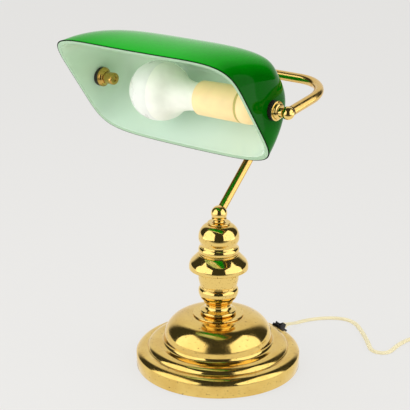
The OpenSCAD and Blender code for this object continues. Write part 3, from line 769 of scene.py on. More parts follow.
def finished(piece: bpy.types.Object, finish: Finish, body: Body,
             *nodes: str) -> bpy.types.Object:
    """Gives a piece its material and body, and says which nodes it stands for.

    Args:
        piece: The new piece.
        finish: Its finish.
        body: The body that it rides on.
        nodes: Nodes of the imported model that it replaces.

    Returns:
        The piece.
    """
    piece.data.materials.clear()
    piece.data.materials.append(finish.material())
    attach(piece, body.value)
    if nodes:
        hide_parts(*nodes)
    LOG.info("%s rides on %s, %d faces", piece.name, body.value, len(piece.data.polygons))
    return piece


@dataclass
class Studio:
    """The photograph's camera, pale floor and soft light.

    Attributes:
        camera_at: Place of the camera in metres.
        right: Direction of the picture's right-hand side.
        up: Direction of the picture's top.
        forward: Direction that the camera looks in.
        focal_px: Focal length in pixels of the 410-pixel frame.
        frame_px: Width of that frame.
        floor_colour: Colour of the floor and room as the camera sees them.
        paper_colour: Colour of the floor as the light finds it.
        dark_colour: Colour of the room behind the camera, as the brass mirrors it.
        mirrored_floor: Colour of the floor as the brass mirrors it near the lamp.
        mirrored_room: Colour of the room behind the lamp as the brass mirrors it.
        ambient: Strength of the light from all sides.
        seen_share: Share of the floor's colour that takes no shadow.
        dim: Distances before the lamp, in metres, where the mirrored floor turns dark.
        behind: Where the mirrored room turns pale, as the cosine off the view's direction.
        ceiling: Heights at which the mirrored room turns dark again, as a sine.
        box_turn: Angle of a softbox's middle off the camera's direction, in degrees.
        box_away: Distance of a softbox from the lamp in metres.
        box_ahead: How far a softbox is moved towards the camera.
        box_wide: Width of a softbox.
        box_high: Height of a softbox.
        box_glow: Brightness of a softbox.
        overhead_at: Place of the light over the lamp.
        overhead_aim: Direction that it shines in.
        overhead_wide: Its width.
        overhead_glow: Its power in watts.
    """

    camera_at: Spot = (0.7536, -0.9338, 0.5800)
    right: Spot = (0.7693, 0.6389, 0.0052)
    up: Spot = (-0.2061, 0.2404, 0.9486)
    forward: Spot = (-0.6048, 0.7308, -0.3166)
    focal_px: float = 1215.0
    frame_px: float = 410.0
    floor_colour: str = "#E9E8E6"
    paper_colour: str = "#EFEDEA"
    dark_colour: str = "#3B3C36"
    mirrored_floor: str = "#F6F5F3"
    mirrored_room: str = "#EDECEA"
    ambient: float = 0.6
    seen_share: float = 0.88
    dim: Point = (0.35, 0.6)
    behind: Point = (0.68, 0.84)
    ceiling: Point = (0.95, 0.88)
    box_turn: float = 84.0
    box_away: float = 0.9
    box_ahead: float = 0.62
    box_wide: float = 1.63
    box_high: float = 1.42
    box_glow: float = 1.5
    overhead_at: Spot = (-0.45, -0.15, 1.5)
    overhead_aim: Spot = (0.45, 0.15, -1.2)
    overhead_wide: float = 0.9
    overhead_glow: float = 7.0

    def camera(self) -> None:
        """Makes the camera at the photograph's viewing angle."""
        lens = bpy.data.cameras.new("camera")
        lens.sensor_width = 36.0
        lens.lens = self.focal_px / self.frame_px * lens.sensor_width
        lens.clip_start, lens.clip_end = 0.05, 50.0
        holder = linked("camera", lens)
        facing = Matrix((self.right, self.up, [-f for f in self.forward])).transposed()
        holder.matrix_world = Matrix.Translation(self.camera_at) @ facing.to_4x4()
        bpy.context.scene.camera = holder

    def floor(self) -> None:
        """Lays a pale matt sweep that keeps the lamp's shadow."""
        bpy.ops.object.select_all(action="DESELECT")
        bpy.ops.mesh.primitive_plane_add(size=14, location=(0, 0, -0.0003))
        sweep = bpy.context.object
        sweep.name = "floor"
        # Background paper: no highlight, so all that shows on it is a soft shadow.
        made = bpy.data.materials.new("matt paper sweep")
        made.use_nodes = True
        tree = made.node_tree
        tree.nodes.clear()
        paper = add_node(tree, "ShaderNodeBsdfDiffuse",
                         values={"Color": linear(self.paper_colour)})
        seen = add_node(tree, "ShaderNodeEmission",
                        values={"Color": linear(self.floor_colour), "Strength": 1.0})
        place = add_node(tree, "ShaderNodeTexCoord").outputs["Object"]
        towards = (-self.forward[0], -self.forward[1], 0.0)
        ahead = add_node(tree, "ShaderNodeVectorMath", operation="DOT_PRODUCT",
                         values={1: towards}, links={0: place}).outputs["Value"]
        far = add_node(tree, "ShaderNodeMapRange", values={1: self.dim[0], 2: self.dim[1]},
                       links={0: ahead}).outputs[0]
        sheen = add_node(tree, "ShaderNodeValToRGB", links={"Fac": far},
                         stops=((0.0, self.mirrored_floor), (1.0, self.dark_colour)))
        mirrored = add_node(tree, "ShaderNodeEmission", values={"Strength": 1.0},
                            links={"Color": sheen.outputs[0]})
        rays = add_node(tree, "ShaderNodeLightPath").outputs
        share = add_node(tree, "ShaderNodeMath", values={1: self.seen_share},
                         operation="MULTIPLY", links={0: rays["Is Camera Ray"]})
        lit = add_node(tree, "ShaderNodeMixShader",
                       links={0: share.outputs[0], 1: paper.outputs[0], 2: seen.outputs[0]})
        both = add_node(tree, "ShaderNodeMixShader", links={
            0: rays["Is Glossy Ray"], 1: lit.outputs[0], 2: mirrored.outputs[0]})
        add_node(tree, "ShaderNodeOutputMaterial", links={"Surface": both.outputs[0]})
        sweep.data.materials.append(made)

    def world(self) -> None:
        """Lights the room: pale behind the lamp, darker behind the camera."""
        world = bpy.data.worlds.new("room")
        world.use_nodes = True
        tree = world.node_tree
        tree.nodes.clear()
        place = add_node(tree, "ShaderNodeTexCoord").outputs["Generated"]
        away = Vector((self.forward[0], self.forward[1], 0.0)).normalized()
        level = add_node(tree, "ShaderNodeVectorMath", operation="MULTIPLY",
                         values={1: (1, 1, 0)}, links={0: place}).outputs[0]
        flat = add_node(tree, "ShaderNodeVectorMath", operation="NORMALIZE",
                        links={0: level}).outputs[0]
        facing = add_node(tree, "ShaderNodeVectorMath", operation="DOT_PRODUCT",
                          values={1: away}, links={0: flat}).outputs["Value"]
        height = add_node(tree, "ShaderNodeSeparateXYZ", links={0: place}).outputs[2]
        pale, low = [add_node(tree, "ShaderNodeMapRange", interpolation_type="SMOOTHSTEP",
                              values={1: ends[0], 2: ends[1]}, links={0: source}).outputs[0]
                     for ends, source in ((self.behind, facing), (self.ceiling, height))]
        share = add_node(tree, "ShaderNodeMath", operation="MULTIPLY",
                         links={0: pale, 1: low}).outputs[0]
        room = add_node(tree, "ShaderNodeValToRGB", links={"Fac": share},
                        stops=((0.0, self.dark_colour), (1.0, self.mirrored_room)))
        mirrored = add_node(tree, "ShaderNodeBackground", values={"Strength": 1.0},
                            links={"Color": room.outputs[0]})
        soft = add_node(tree, "ShaderNodeBackground",
                        values={"Color": linear("#F4F3F1"), "Strength": self.ambient})
        seen = add_node(tree, "ShaderNodeBackground",
                        values={"Color": linear(self.floor_colour), "Strength": 1.0})
        rays = add_node(tree, "ShaderNodeLightPath").outputs
        lit = add_node(tree, "ShaderNodeMixShader", links={
            0: rays["Is Glossy Ray"], 1: soft.outputs[0], 2: mirrored.outputs[0]})
        both = add_node(tree, "ShaderNodeMixShader",
                        links={0: rays["Is Camera Ray"], 1: lit.outputs[0], 2: seen.outputs[0]})
        add_node(tree, "ShaderNodeOutputWorld", links={"Surface": both.outputs[0]})
        bpy.context.scene.world = world

    def hang(self, name: str, light: bpy.types.Light, at: Vector, aim: Vector) -> None:
        """Puts a light in its place.

        Args:
            name: Name of its object.
            light: The light.
            at: Its place in metres.
            aim: Direction that it shines in.
        """
        holder = linked(name, light)
        holder.location = at
        holder.rotation_mode = "QUATERNION"
        holder.rotation_quaternion = aim.to_track_quat("-Z", "Y")
        holder.visible_glossy = light.shape == "RECTANGLE"

    def softbox(self, side: Side) -> None:
        """Hangs a large softbox beside the lamp, from its flank to near the camera.

        Args:
            side: The camera's left or right.
        """
        towards = -Vector((self.forward[0], self.forward[1], 0.0)).normalized()
        across = Vector((self.right[0], self.right[1], 0.0)).normalized() * side.value
        a = math.radians(self.box_turn)
        out = towards * math.cos(a) + across * math.sin(a)
        along = towards * math.sin(a) - across * math.cos(a)
        light = bpy.data.lights.new("softbox", "AREA")
        light.shape = "RECTANGLE"
        light.size, light.size_y = self.box_wide, self.box_high
        light.energy = self.box_glow * math.pi * self.box_wide * self.box_high
        middle = Vector((0, 0, self.box_high / 2 + 0.02))
        self.hang(f"{side.name.lower()}_softbox", light,
                  out * self.box_away + along * self.box_ahead + middle, -out)

    def overhead(self) -> None:
        """Hangs a soft light over the lamp, which the brass doesn't mirror."""
        light = bpy.data.lights.new("overhead", "AREA")
        light.shape = "DISK"
        light.size = self.overhead_wide
        light.energy = self.overhead_glow
        self.hang("overhead_softbox", light, Vector(self.overhead_at),
                  Vector(self.overhead_aim))

    def build(self) -> None:
        """Makes camera, floor, room and lights."""
        self.camera()
        self.floor()
        self.world()
        for side in Side:
            self.softbox(side)
        self.overhead()
        bpy.context.scene.view_settings.view_transform = "Standard"


@dataclass
class Flex:
    """The cream flat twin flex: free on the table, then wound, tied and plugged.

    Attributes:
        width: Width across both cores, in millimetres.
        thick: Thickness over one core.
        coil_at: Middle of the coil.
        coil_r: Outer radius of the coil's middle line.
        layers: Layers of the coil.
        layer_turns: Turns in each layer.
        loop_points: Points on each turn.
        length: Whole length from the relief to the plug, in metres; not used.
        turn: Angle of the outlet from the back, in degrees.
        outlet_z: Height of the outlet's middle.
        tip: Distance of the relief's tip from the lamp's axis.
    """

    width: float = 5.2
    thick: float = 3.2
    coil_at: Point = (186.0, 224.0)
    coil_r: float = 35.6
    layers: int = 4
    layer_turns: float = 1.5
    loop_points: int = 48
    length: float = 1.8
    turn: float = 5.0
    outlet_z: float = 8.6
    tip: float = 110.0

    @property
    def low(self) -> float:
        """Height of the middle line of flex that lies on the table."""
        return self.thick / 2

    @property
    def pitch(self) -> float:
        """Step from one turn to the next."""
        return self.width + 0.6

    @property
    def coil_low(self) -> float:
        """Height of the coil's first layer, on the tie."""
        return self.low + 0.8

    @property
    def coil_top(self) -> float:
        """Height of the coil's last layer."""
        return self.coil_low + (self.thick + 0.5) * (self.layers - 1)

    @property
    def exit(self) -> Spot:
        """Where the flex leaves the relief, in millimetres."""
        turn = math.radians(self.turn)
        return (self.tip * math.sin(turn), self.tip * math.cos(turn), self.outlet_z)

    def route(self) -> list[Spot]:
        """The listed points from the relief to the coil."""
        z = self.low
        return [
            self.exit, (9.9, 116, 8), (9.4, 123, 6.2), (8.5, 130, 4), (8.2, 137.5, 2.2),
            (9.6, 145.5, z), (13.5, 154, z), (18.8, 162.5, z), (25.2, 170.2, z), (33, 177, z),
            (41.5, 181.3, z), (50, 182.3, z), (58, 180.3, z), (65.3, 176.2, z),
            (72.5, 170.5, z), (80, 164, z), (88, 156.5, z), (96, 148.5, z), (103, 141.2, z),
            (107.4, 136.3, z), (111.5, 132.5, z), (115.3, 130.3, z), (119.4, 129.6, z),
            (124, 130.5, z), (127.9, 133.1, z), (130.3, 136.7, z), (131.2, 141.5, z),
            (130.7, 149, z), (129.7, 159, z), (129.7, 171, z), (131.5, 183, z), (136, 193, z),
            (141.8, 201.5, z + 0.2), (147, 208, z + 0.5), (149.8, 212.8, self.coil_low - 0.1),
            (self.coil_at[0] - self.coil_r, self.coil_at[1] - 6, self.coil_low),
        ]

    def coil_radius(self, turns: float) -> float:
        """Radius of the middle line after some turns, spiralling in and out."""
        inner = self.coil_r - self.pitch * (self.layer_turns + 0.25)
        return inner + self.pitch * abs((turns + 0.25) % 4 - 2)

    def coil_height(self, turns: float) -> float:
        """Height of the coil's middle line, which climbs after each layer.

        Args:
            turns: Turns from the coil's start.

        Returns:
            The height in millimetres.
        """
        climbed = 0.0
        for k in range(1, self.layers):
            u = min(max((turns - 2 * k) * 2 + 1, 0.0), 1.0)
            climbed += u * u * (3 - 2 * u)
        return self.coil_low + (self.thick + 0.5) * climbed

    def coil(self) -> list[Spot]:
        """Winds the stretch that the photograph doesn't show.

        Returns:
            Its points in millimetres.
        """
        turns = self.layers * self.layer_turns + (self.layers - 1) / 2
        points = []
        for i in range(round(turns * self.loop_points) + 1):
            t = i / self.loop_points
            a = math.radians(180 - 360 * t)
            r = self.coil_radius(t)
            points.append((self.coil_at[0] + r * math.cos(a),
                           self.coil_at[1] + r * math.sin(a), self.coil_height(t)))
        return points

    def tail(self) -> list[Spot]:
        """The points from the top of the coil down to the plug."""
        x, z = self.coil_at[0] + self.coil_r, self.coil_top
        return [(x, 216, z), (x, 208, z - 1.1), (x, 200, z - 3.3), (x, 192, 8.1),
                (x, 184, 7), (x, 176, 7)]

    def path(self) -> list[Vector]:
        """The whole middle line, in metres, smoothed through the listed points."""
        return [Vector(p) * MM for p in
                through(self.route(), 4)[:-1] + self.coil() + through(self.tail(), 4)]

    def section(self) -> list[Point]:
        """Draws the flat twin flex: two round cores with a shallow groove between.

        Returns:
            The outline in millimetres.
        """
        points = []
        for i in range(20):
            a = math.radians(360 * i / 20)
            lift = 1 - 0.12 * math.exp(-((self.width * math.cos(a) / 2) / 0.7) ** 2)
            points.append((self.width / 2 * power(math.cos(a), 0.8),
                           self.thick / 2 * power(math.sin(a), 0.7) * lift))
        return points

    def build(self) -> None:
        path = self.path()
        rim = flat_curve("flex section", [(x * MM, z * MM) for x, z in self.section()])
        flex = swept("flex", path, rim)
        finished(flex, FLEX, Body.BASE, "power_cord", "cord_coil")
        tie = self.tie()
        plug = Plug((self.coil_at[0] + self.coil_r, 176.0)).build()

    def tie(self) -> bpy.types.Object:
        """Folds a black twist tie round the back of the coil.

        Returns:
            The tie.
        """
        inner = self.coil_radius(1.25) - self.width / 2 - 0.5
        outer = self.coil_radius(0.25) + self.width / 2 + 0.3
        top = self.coil_top + self.low + 0.2
        band = block("twist_tie", (6, outer - inner + 0.8, top + 0.1),
                     (self.coil_at[0], self.coil_at[1] + (inner + outer) / 2, (top + 0.7) / 2))
        select_faces(band, lambda face: abs(face.normal.x) > 0.5)
        bpy.ops.mesh.delete(type="FACE")
        bpy.ops.object.mode_set(mode="OBJECT")
        apply_modifier(band, "BEVEL", width=1.2 * MM, segments=4, angle_limit=0.5)
        apply_modifier(band, "SOLIDIFY", thickness=0.5 * MM, offset=0.0)
        smooth(band)
        return finished(band, BLACK, Body.BASE, "cord_tie")


def through(points: list[Spot], parts: int) -> list[Spot]:
    """Runs a smooth curve through points.

    Args:
        points: Given points.
        parts: Stretches between two of them.

    Returns:
        The finer points, the given ones among them.
    """
    made = []
    spots = [Vector(p) for p in points]
    for i in range(len(spots) - 1):
        a, b = spots[max(i - 1, 0)], spots[i]
        c, d = spots[i + 1], spots[min(i + 2, len(spots) - 1)]
        for j in range(parts):
            u = j / parts
            made.append(tuple(0.5 * (2 * b + (c - a) * u + (2 * a - 5 * b + 4 * c - d) * u ** 2
                                     + (3 * b - a - 3 * c + d) * u ** 3)))
    made.append(tuple(spots[-1]))
    return made


def flat_curve(name: str, outline: list[Point]) -> bpy.types.Object:
    """Makes a closed flat curve to sweep along a path.

    Args:
        name: Name of the new object.
        outline: Points in metres.

    Returns:
        The curve's object.
    """
    curve = bpy.data.curves.new(name, "CURVE")
    curve.dimensions = "2D"
    line = curve.splines.new("POLY")
    line.points.add(len(outline) - 1)
    for point, (x, y) in zip(line.points, outline):
        point.co = (x, y, 0, 1)
    line.use_cyclic_u = True
    return linked(name, curve)


def swept(name: str, path: list[Vector], rim: bpy.types.Object) -> bpy.types.Object:
    """Sweeps a flat outline along a path and turns the result into a closed mesh.

    Args:
        name: Name of the new piece.
        path: Points in metres.
        rim: The outline, which is removed.

    Returns:
        The new piece.
    """
    curve = bpy.data.curves.new(name, "CURVE")
    curve.dimensions = "3D"
    curve.twist_mode = "Z_UP"
    line = curve.splines.new("POLY")
    line.points.add(len(path) - 1)
    for point, spot in zip(line.points, path):
        point.co = (*spot, 1)
    curve.bevel_mode = "OBJECT"
    curve.bevel_object = rim
    curve.use_fill_caps = True
    only(linked(name, curve))
    bpy.ops.object.convert(target="MESH")
    bpy.data.objects.remove(rim)
    start_edit()
    close_edit()
    return smooth(bpy.context.object, 50)


@dataclass
class Plug:
    """Flat two-pin plug that lies on the table, pins to the front.

    Attributes:
        at: Where the flex enters it, in millimetres.
        neck: Length of the strain relief.
        body: Length of the body after it.
        half: Half width of the body.
        square: Exponent of its squarish section.
        pin_gap: Distance between the pins.
        pin_z: Height of the pins' axes.
    """

    at: Point
    neck: float = 16.0
    body: float = 35.0
    half: float = 12.8
    square: float = 0.45
    pin_gap: float = 18.6
    pin_z: float = 7.0

    def shell(self) -> bpy.types.Object:
        """Pulls a ring through the sections of the moulded body.

        Returns:
            The body.
        """
        # Distance from the entry, half width, and the heights of underside and top.
        sections = [(0.0, 3.3, 4.5, 9.5), (self.neck, 4.9, 2.1, 11.3),
                    (self.neck + 3, 8.8, 0.1, 13.4), (self.neck + 14, self.half, 0.1, 13.5),
                    (self.neck + self.body, self.half, 0.1, 13.5)]
        bpy.ops.object.select_all(action="DESELECT")
        bpy.ops.mesh.primitive_circle_add(vertices=32, radius=1, fill_type="NGON")
        shell = bpy.context.object
        shell.name = "plug_shell"
        start_edit()
        for _ in sections[1:]:
            bpy.ops.mesh.extrude_region_move(TRANSFORM_OT_translate={"value": (0, 0, 1)})
        bpy.ops.object.mode_set(mode="OBJECT")
        for vertex in shell.data.vertices:
            away, half, low, high = sections[round(vertex.co.z)]
            a = math.atan2(vertex.co.y, vertex.co.x)
            up = (high - low) / 2 * power(math.sin(a), self.square)
            vertex.co = Vector((self.at[0] + half * power(math.cos(a), self.square),
                                self.at[1] - away, (high + low) / 2 + up)) * MM
        start_edit()
        close_edit()
        apply_modifier(shell, "BEVEL", width=0.9 * MM, segments=3, angle_limit=0.7)
        smooth(shell, 40)
        return finished(shell, FLEX, Body.BASE, "plug_body")

    def pins(self) -> bpy.types.Object:
        """Turns one pin and doubles it.

        Returns:
            Both pins as one piece.
        """
        place = shift(self.at[0] - self.pin_gap / 2, self.at[1] - self.neck - self.body,
                      self.pin_z) @ rotation(90, "X")
        pins = turned("plug_round_pins", [(0, 0), (2, 0), (2, 18), (1.2, 19), (0, 19)],
                      place, steps=24)
        only(pins)
        start_edit()
        bpy.ops.mesh.duplicate_move(
            TRANSFORM_OT_translate={"value": (self.pin_gap * MM, 0, 0)})
        close_edit()
        return finished(pins, NICKEL, Body.BASE, "plug_pins")

    def build(self) -> list[bpy.types.Object]:
        """Makes the body and the pins."""
        return [self.shell(), self.pins()]


@dataclass
class BasePieces:
    """The spun base with its switch and cord outlet, in millimetres and degrees.

    Attributes:
        rim_r: Radius of the rim.
        rim_h: Height of the straight rim.
        dome_z: Height of the dome's flat top.
        foot_z: Height of the dome's foot.
        foot_r: Radius of the dome's foot.
        flat_r: Radius of the flat top.
        bore_r: Radius of the hole for the column's rod.
        wall: Thickness of the sheet.
        switch_turn: Angle of the switch from the back.
        switch_r: Distance of the switch from the axis.
        switch_z: Height of the switch.
        switch_tilt: Slope of the switch.
        switch_hole: Size of the block that cuts its hole.
        bezel: Size of its frame.
        key_wide: Width of its rocker.
        rocker_tip: How far the rocker leans at rest.
        cord_turn: Angle of the cord outlet from the back.
        cord_r: Distance of the relief's flange from the axis.
        cord_z: Height of the outlet.
    """

    rim_r: float = 88.0
    rim_h: float = 15.4
    dome_z: float = 57.0
    foot_z: float = 31.0
    foot_r: float = 58.0
    flat_r: float = 27.0
    bore_r: float = 5.2
    wall: float = 1.2
    switch_turn: float = 15.0
    switch_r: float = 84.9
    switch_z: float = 18.3
    switch_tilt: float = 38.0
    switch_hole: Spot = (14.2, 9.6, 22.0)
    bezel: Spot = (15.0, 10.4, 3.6)
    key_wide: float = 7.0
    rocker_tip: float = 11.0
    cord_turn: float = 5.0
    cord_r: float = 84.8
    cord_z: float = 8.6

    def at_switch(self) -> Matrix:
        """Place of the switch: X along the rim, Z outwards."""
        return (rotation(-self.switch_turn, "Z") @ shift(0, self.switch_r, self.switch_z)
                @ rotation(-self.switch_tilt, "X"))

    def at_outlet(self) -> Matrix:
        """Place of the cord outlet, Z outwards."""
        return (rotation(-self.cord_turn, "Z") @ shift(0, self.cord_r, self.cord_z)
                @ rotation(-90, "X"))

    def cover(self) -> None:
        """Spins the stepped cover and cuts its two openings."""
        outline = [(self.bore_r, self.dome_z)]
        outline += arc((self.flat_r, self.foot_z), self.foot_r - self.flat_r,
                       self.dome_z - self.foot_z, 90, 0, 44, 2.1)
        outline += [(58.4, 29.6), (58.8, 28.8), (59.3, 28.2), (59.9, 27.7), (60.6, 27.4),
                    (61.3, 27.25), (62, 27.2)]
        outline += arc((65, 20.4), 10.8, 6.7, 97, 8, 24)
        outline += [(76.0, 21.0), (76.4, 20.8), (76.9, 20.7)]
        outline += arc((78.8, self.rim_h - 5.2), self.rim_r - 77.4, 10.8, 93, 29, 20)
        outline += [(self.rim_r, 1.4), (self.rim_r - 0.3, 0.8)]
        cover = turned("base_shell", outline, closed=False, steps=192, wall=self.wall)
        for cutter in (self.box_cutter(), self.hole_cutter()):
            joined(cover, cutter, "DIFFERENCE")
        smooth(cover)
        finished(cover, SPUN, Body.BASE, "base_cover")

    def box_cutter(self) -> bpy.types.Object:
        """A block in the place of the switch's cut-out."""
        return placed(block("switch_hole", self.switch_hole, (0, 0, -4)), self.at_switch())

    def hole_cutter(self) -> bpy.types.Object:
        """Adds a cylinder in the place of the cord outlet.

        Returns:
            The cutter.
        """
        bpy.ops.object.select_all(action="DESELECT")
        bpy.ops.mesh.primitive_cylinder_add(vertices=32, radius=5.2 * MM, depth=12 * MM)
        return placed(bpy.context.object, self.at_outlet())

    def relief(self) -> None:
        """Makes the tapered relief of the cord with its moulded rings."""
        outline = [(1.8, 0), (5.1, 0), (5.1, 1.8), (4.8, 1.9), (4.8, 3.6), (5.9, 3.7), (5.9, 5)]
        for i in range(5):
            z = 6.4 + 3.4 * i
            r = 4.9 - 0.28 * i
            outline += [(r, z), (r, z + 1.9), (r - 0.6, z + 2.2), (r - 0.65, z + 3.1)]
        outline += [(3.6, 25.2), (1.8, 25.2)]
        piece = turned("cord_boot", eased(outline, 0.3), self.at_outlet(), steps=40)
        finished(piece, FLEX, Body.BASE, "cord_relief")

    def switch(self) -> None:
        """Makes the bezel with its well, and the rocker in it."""
        bezel = block("switch_bezel", self.bezel, (0, 0, 0.6))
        select_faces(bezel, lambda face: face.normal.z > 0.99)
        bpy.ops.mesh.inset(thickness=0.35 * MM)
        bpy.ops.mesh.inset(thickness=0.85 * MM)
        bpy.ops.mesh.extrude_region_move(TRANSFORM_OT_translate={"value": (0, 0, -7 * MM)})
        close_edit()
        select_faces(bezel, lambda face: face.normal.z < -0.99)
        bpy.ops.mesh.inset(thickness=0.7 * MM)
        bpy.ops.mesh.extrude_region_move(TRANSFORM_OT_translate={"value": (0, 0, -8.7 * MM)})
        close_edit()
        apply_modifier(bezel, "BEVEL", width=0.35 * MM, segments=3, angle_limit=0.8)
        placed(bezel, self.at_switch())
        smooth(bezel, 40)
        finished(bezel, BLACK, Body.BASE, "switch_body")
        self.rocker()

    def rocker(self) -> None:
        """Makes the rocker: a dished key with two raised ends, on its pin."""
        key = arc((0, 13.62), 8.02, 8.02, 228.6, 311.4, 14) + [
            (5.3, 1.8), (2.2, -2.2), (-2.2, -2.2), (-5.3, 1.8)]
        spots = [(x * MM, -self.key_wide / 2 * MM, z * MM) for x, z in key]
        piece = drawn("switch_key", spots + spots[:1])
        bpy.ops.mesh.remove_doubles(threshold=1e-6)
        bpy.ops.mesh.edge_face_add()
        bpy.ops.mesh.extrude_region_move(
            TRANSFORM_OT_translate={"value": (0, self.key_wide * MM, 0)})
        close_edit()
        apply_modifier(piece, "BEVEL", width=0.5 * MM, segments=3, angle_limit=0.6)
        placed(piece, self.at_switch() @ shift(0, 0, -1) @ rotation(-self.rocker_tip, "Y"))
        smooth(piece, 40)
        finished(piece, BLACK, Body.ROCKER, "switch_rocker")

    def build(self) -> None:
        """Makes all pieces of the base."""
        self.cover()
        self.relief()
        self.switch()


@dataclass
class ColumnPieces:
    """The turned column from the disc on the dome to the swivel cap.

    Attributes:
        bore: Radius of the bore for the rod.
        dome_z: Height of the dome's top; the other fields are heights up from there.
        disc_top: Top of the small disc.
        cup_z: Seam under the lower cup.
        band_z: Seam under the plain band.
        skirt_z: Seam under the skirt.
        lip_z: The skirt's lip.
        bead_z: Seam under the upper bead.
        cap_z: Seam under the swivel cap.
        top_z: Top of that cap.
    """

    bore: float = 5.2
    dome_z: float = 57.0
    disc_top: float = 58.8
    cup_z: float = 72.0
    band_z: float = 90.0
    skirt_z: float = 107.0
    lip_z: float = 110.5
    bead_z: float = 126.2
    cap_z: float = 159.5
    top_z: float = 161.2

    def outlines(self) -> dict[str, list[Point]]:
        """The outline of each turned piece, by the name of its node."""
        b = self.bore
        return {
            "foot_disc": [(b, self.dome_z), (26, self.dome_z)]
            + arc((26, self.dome_z + 0.9), 1, 0.9, -90, 60, 8)
            + arc((16, self.dome_z + 1.2), 10, 0.6, 30, 90, 8) + [(b, self.disc_top)],
            "foot_collar": [(b, self.disc_top), (16.6, self.disc_top)]
            + arc((16.6, self.disc_top + 2.3), 2.7, 2.3, -90, 80, 16)
            + arc((16.8, 68), 3.6, 4, 255, 110, 16) + [(14, self.cup_z), (b, self.cup_z)],
            "lower_cup": [(b, self.cup_z), (13.6, self.cup_z)]
            + arc((9.4, 84.6), 12, 12.6, -66, 0, 18)
            + arc((18.6, 84.6), 2.8, 4.4, 8, 66, 10)
            + [(19.7, self.band_z), (17.7, self.band_z), (17.7, 86), (b, 76)],
            "column_band": [(17.7, self.band_z), (19.7, self.band_z)]
            + arc((20.5, 91.2), 0.7, 1, 225, 120, 6)
            + [(20.4, 93.4), (21.6, 98.6), (21.8, self.skirt_z - 0.6), (21.4, self.skirt_z),
               (b, self.skirt_z), (b, self.skirt_z - 2), (17.7, self.skirt_z - 2)],
            "column_skirt": [(b, self.skirt_z), (21.4, self.skirt_z), (21.9, 108.9),
                             (23.2, 110.3), (29.7, 110.3)]
            + arc((30.7, self.lip_z), 0.9, 0.9, -90, 0, 8)
            + arc((20, self.lip_z + 1.5), 11.6, 11.6, 0, 45, 20)
            + [(22.6, self.bead_z - 0.5), (21.8, self.bead_z), (b, self.bead_z)],
            "upper_bead": [(b, self.bead_z), (21, self.bead_z)]
            + arc((18.9, 130.9), 2.8, 4.3, -50, 62, 16)
            + arc((21.4, 137), 1.6, 2.6, 222, 138, 10)
            + arc((18.9, 144.6), 2.8, 5.6, -50, 0, 10)
            + arc((9.6, 144.6), 12.1, 14.9, 8, 76, 20) + [(8, self.cap_z), (8, 140)],
            "column_cap": [(7.9, self.cap_z - 3), (7.9, self.cap_z), (11.5, self.cap_z)]
            + arc((11.5, self.cap_z + 0.85), 0.8, 0.85, -90, 90, 10)
            + [(4.05, self.top_z), (4.05, self.cap_z - 3)],
        }

    def build(self) -> None:
        """Turns each piece of the column."""
        for node, outline in self.outlines().items():
            piece = turned(node.replace("_", "_turned_"), eased(outline, 0.25), steps=128)
            finished(piece, TURNED, Body.BASE, node)


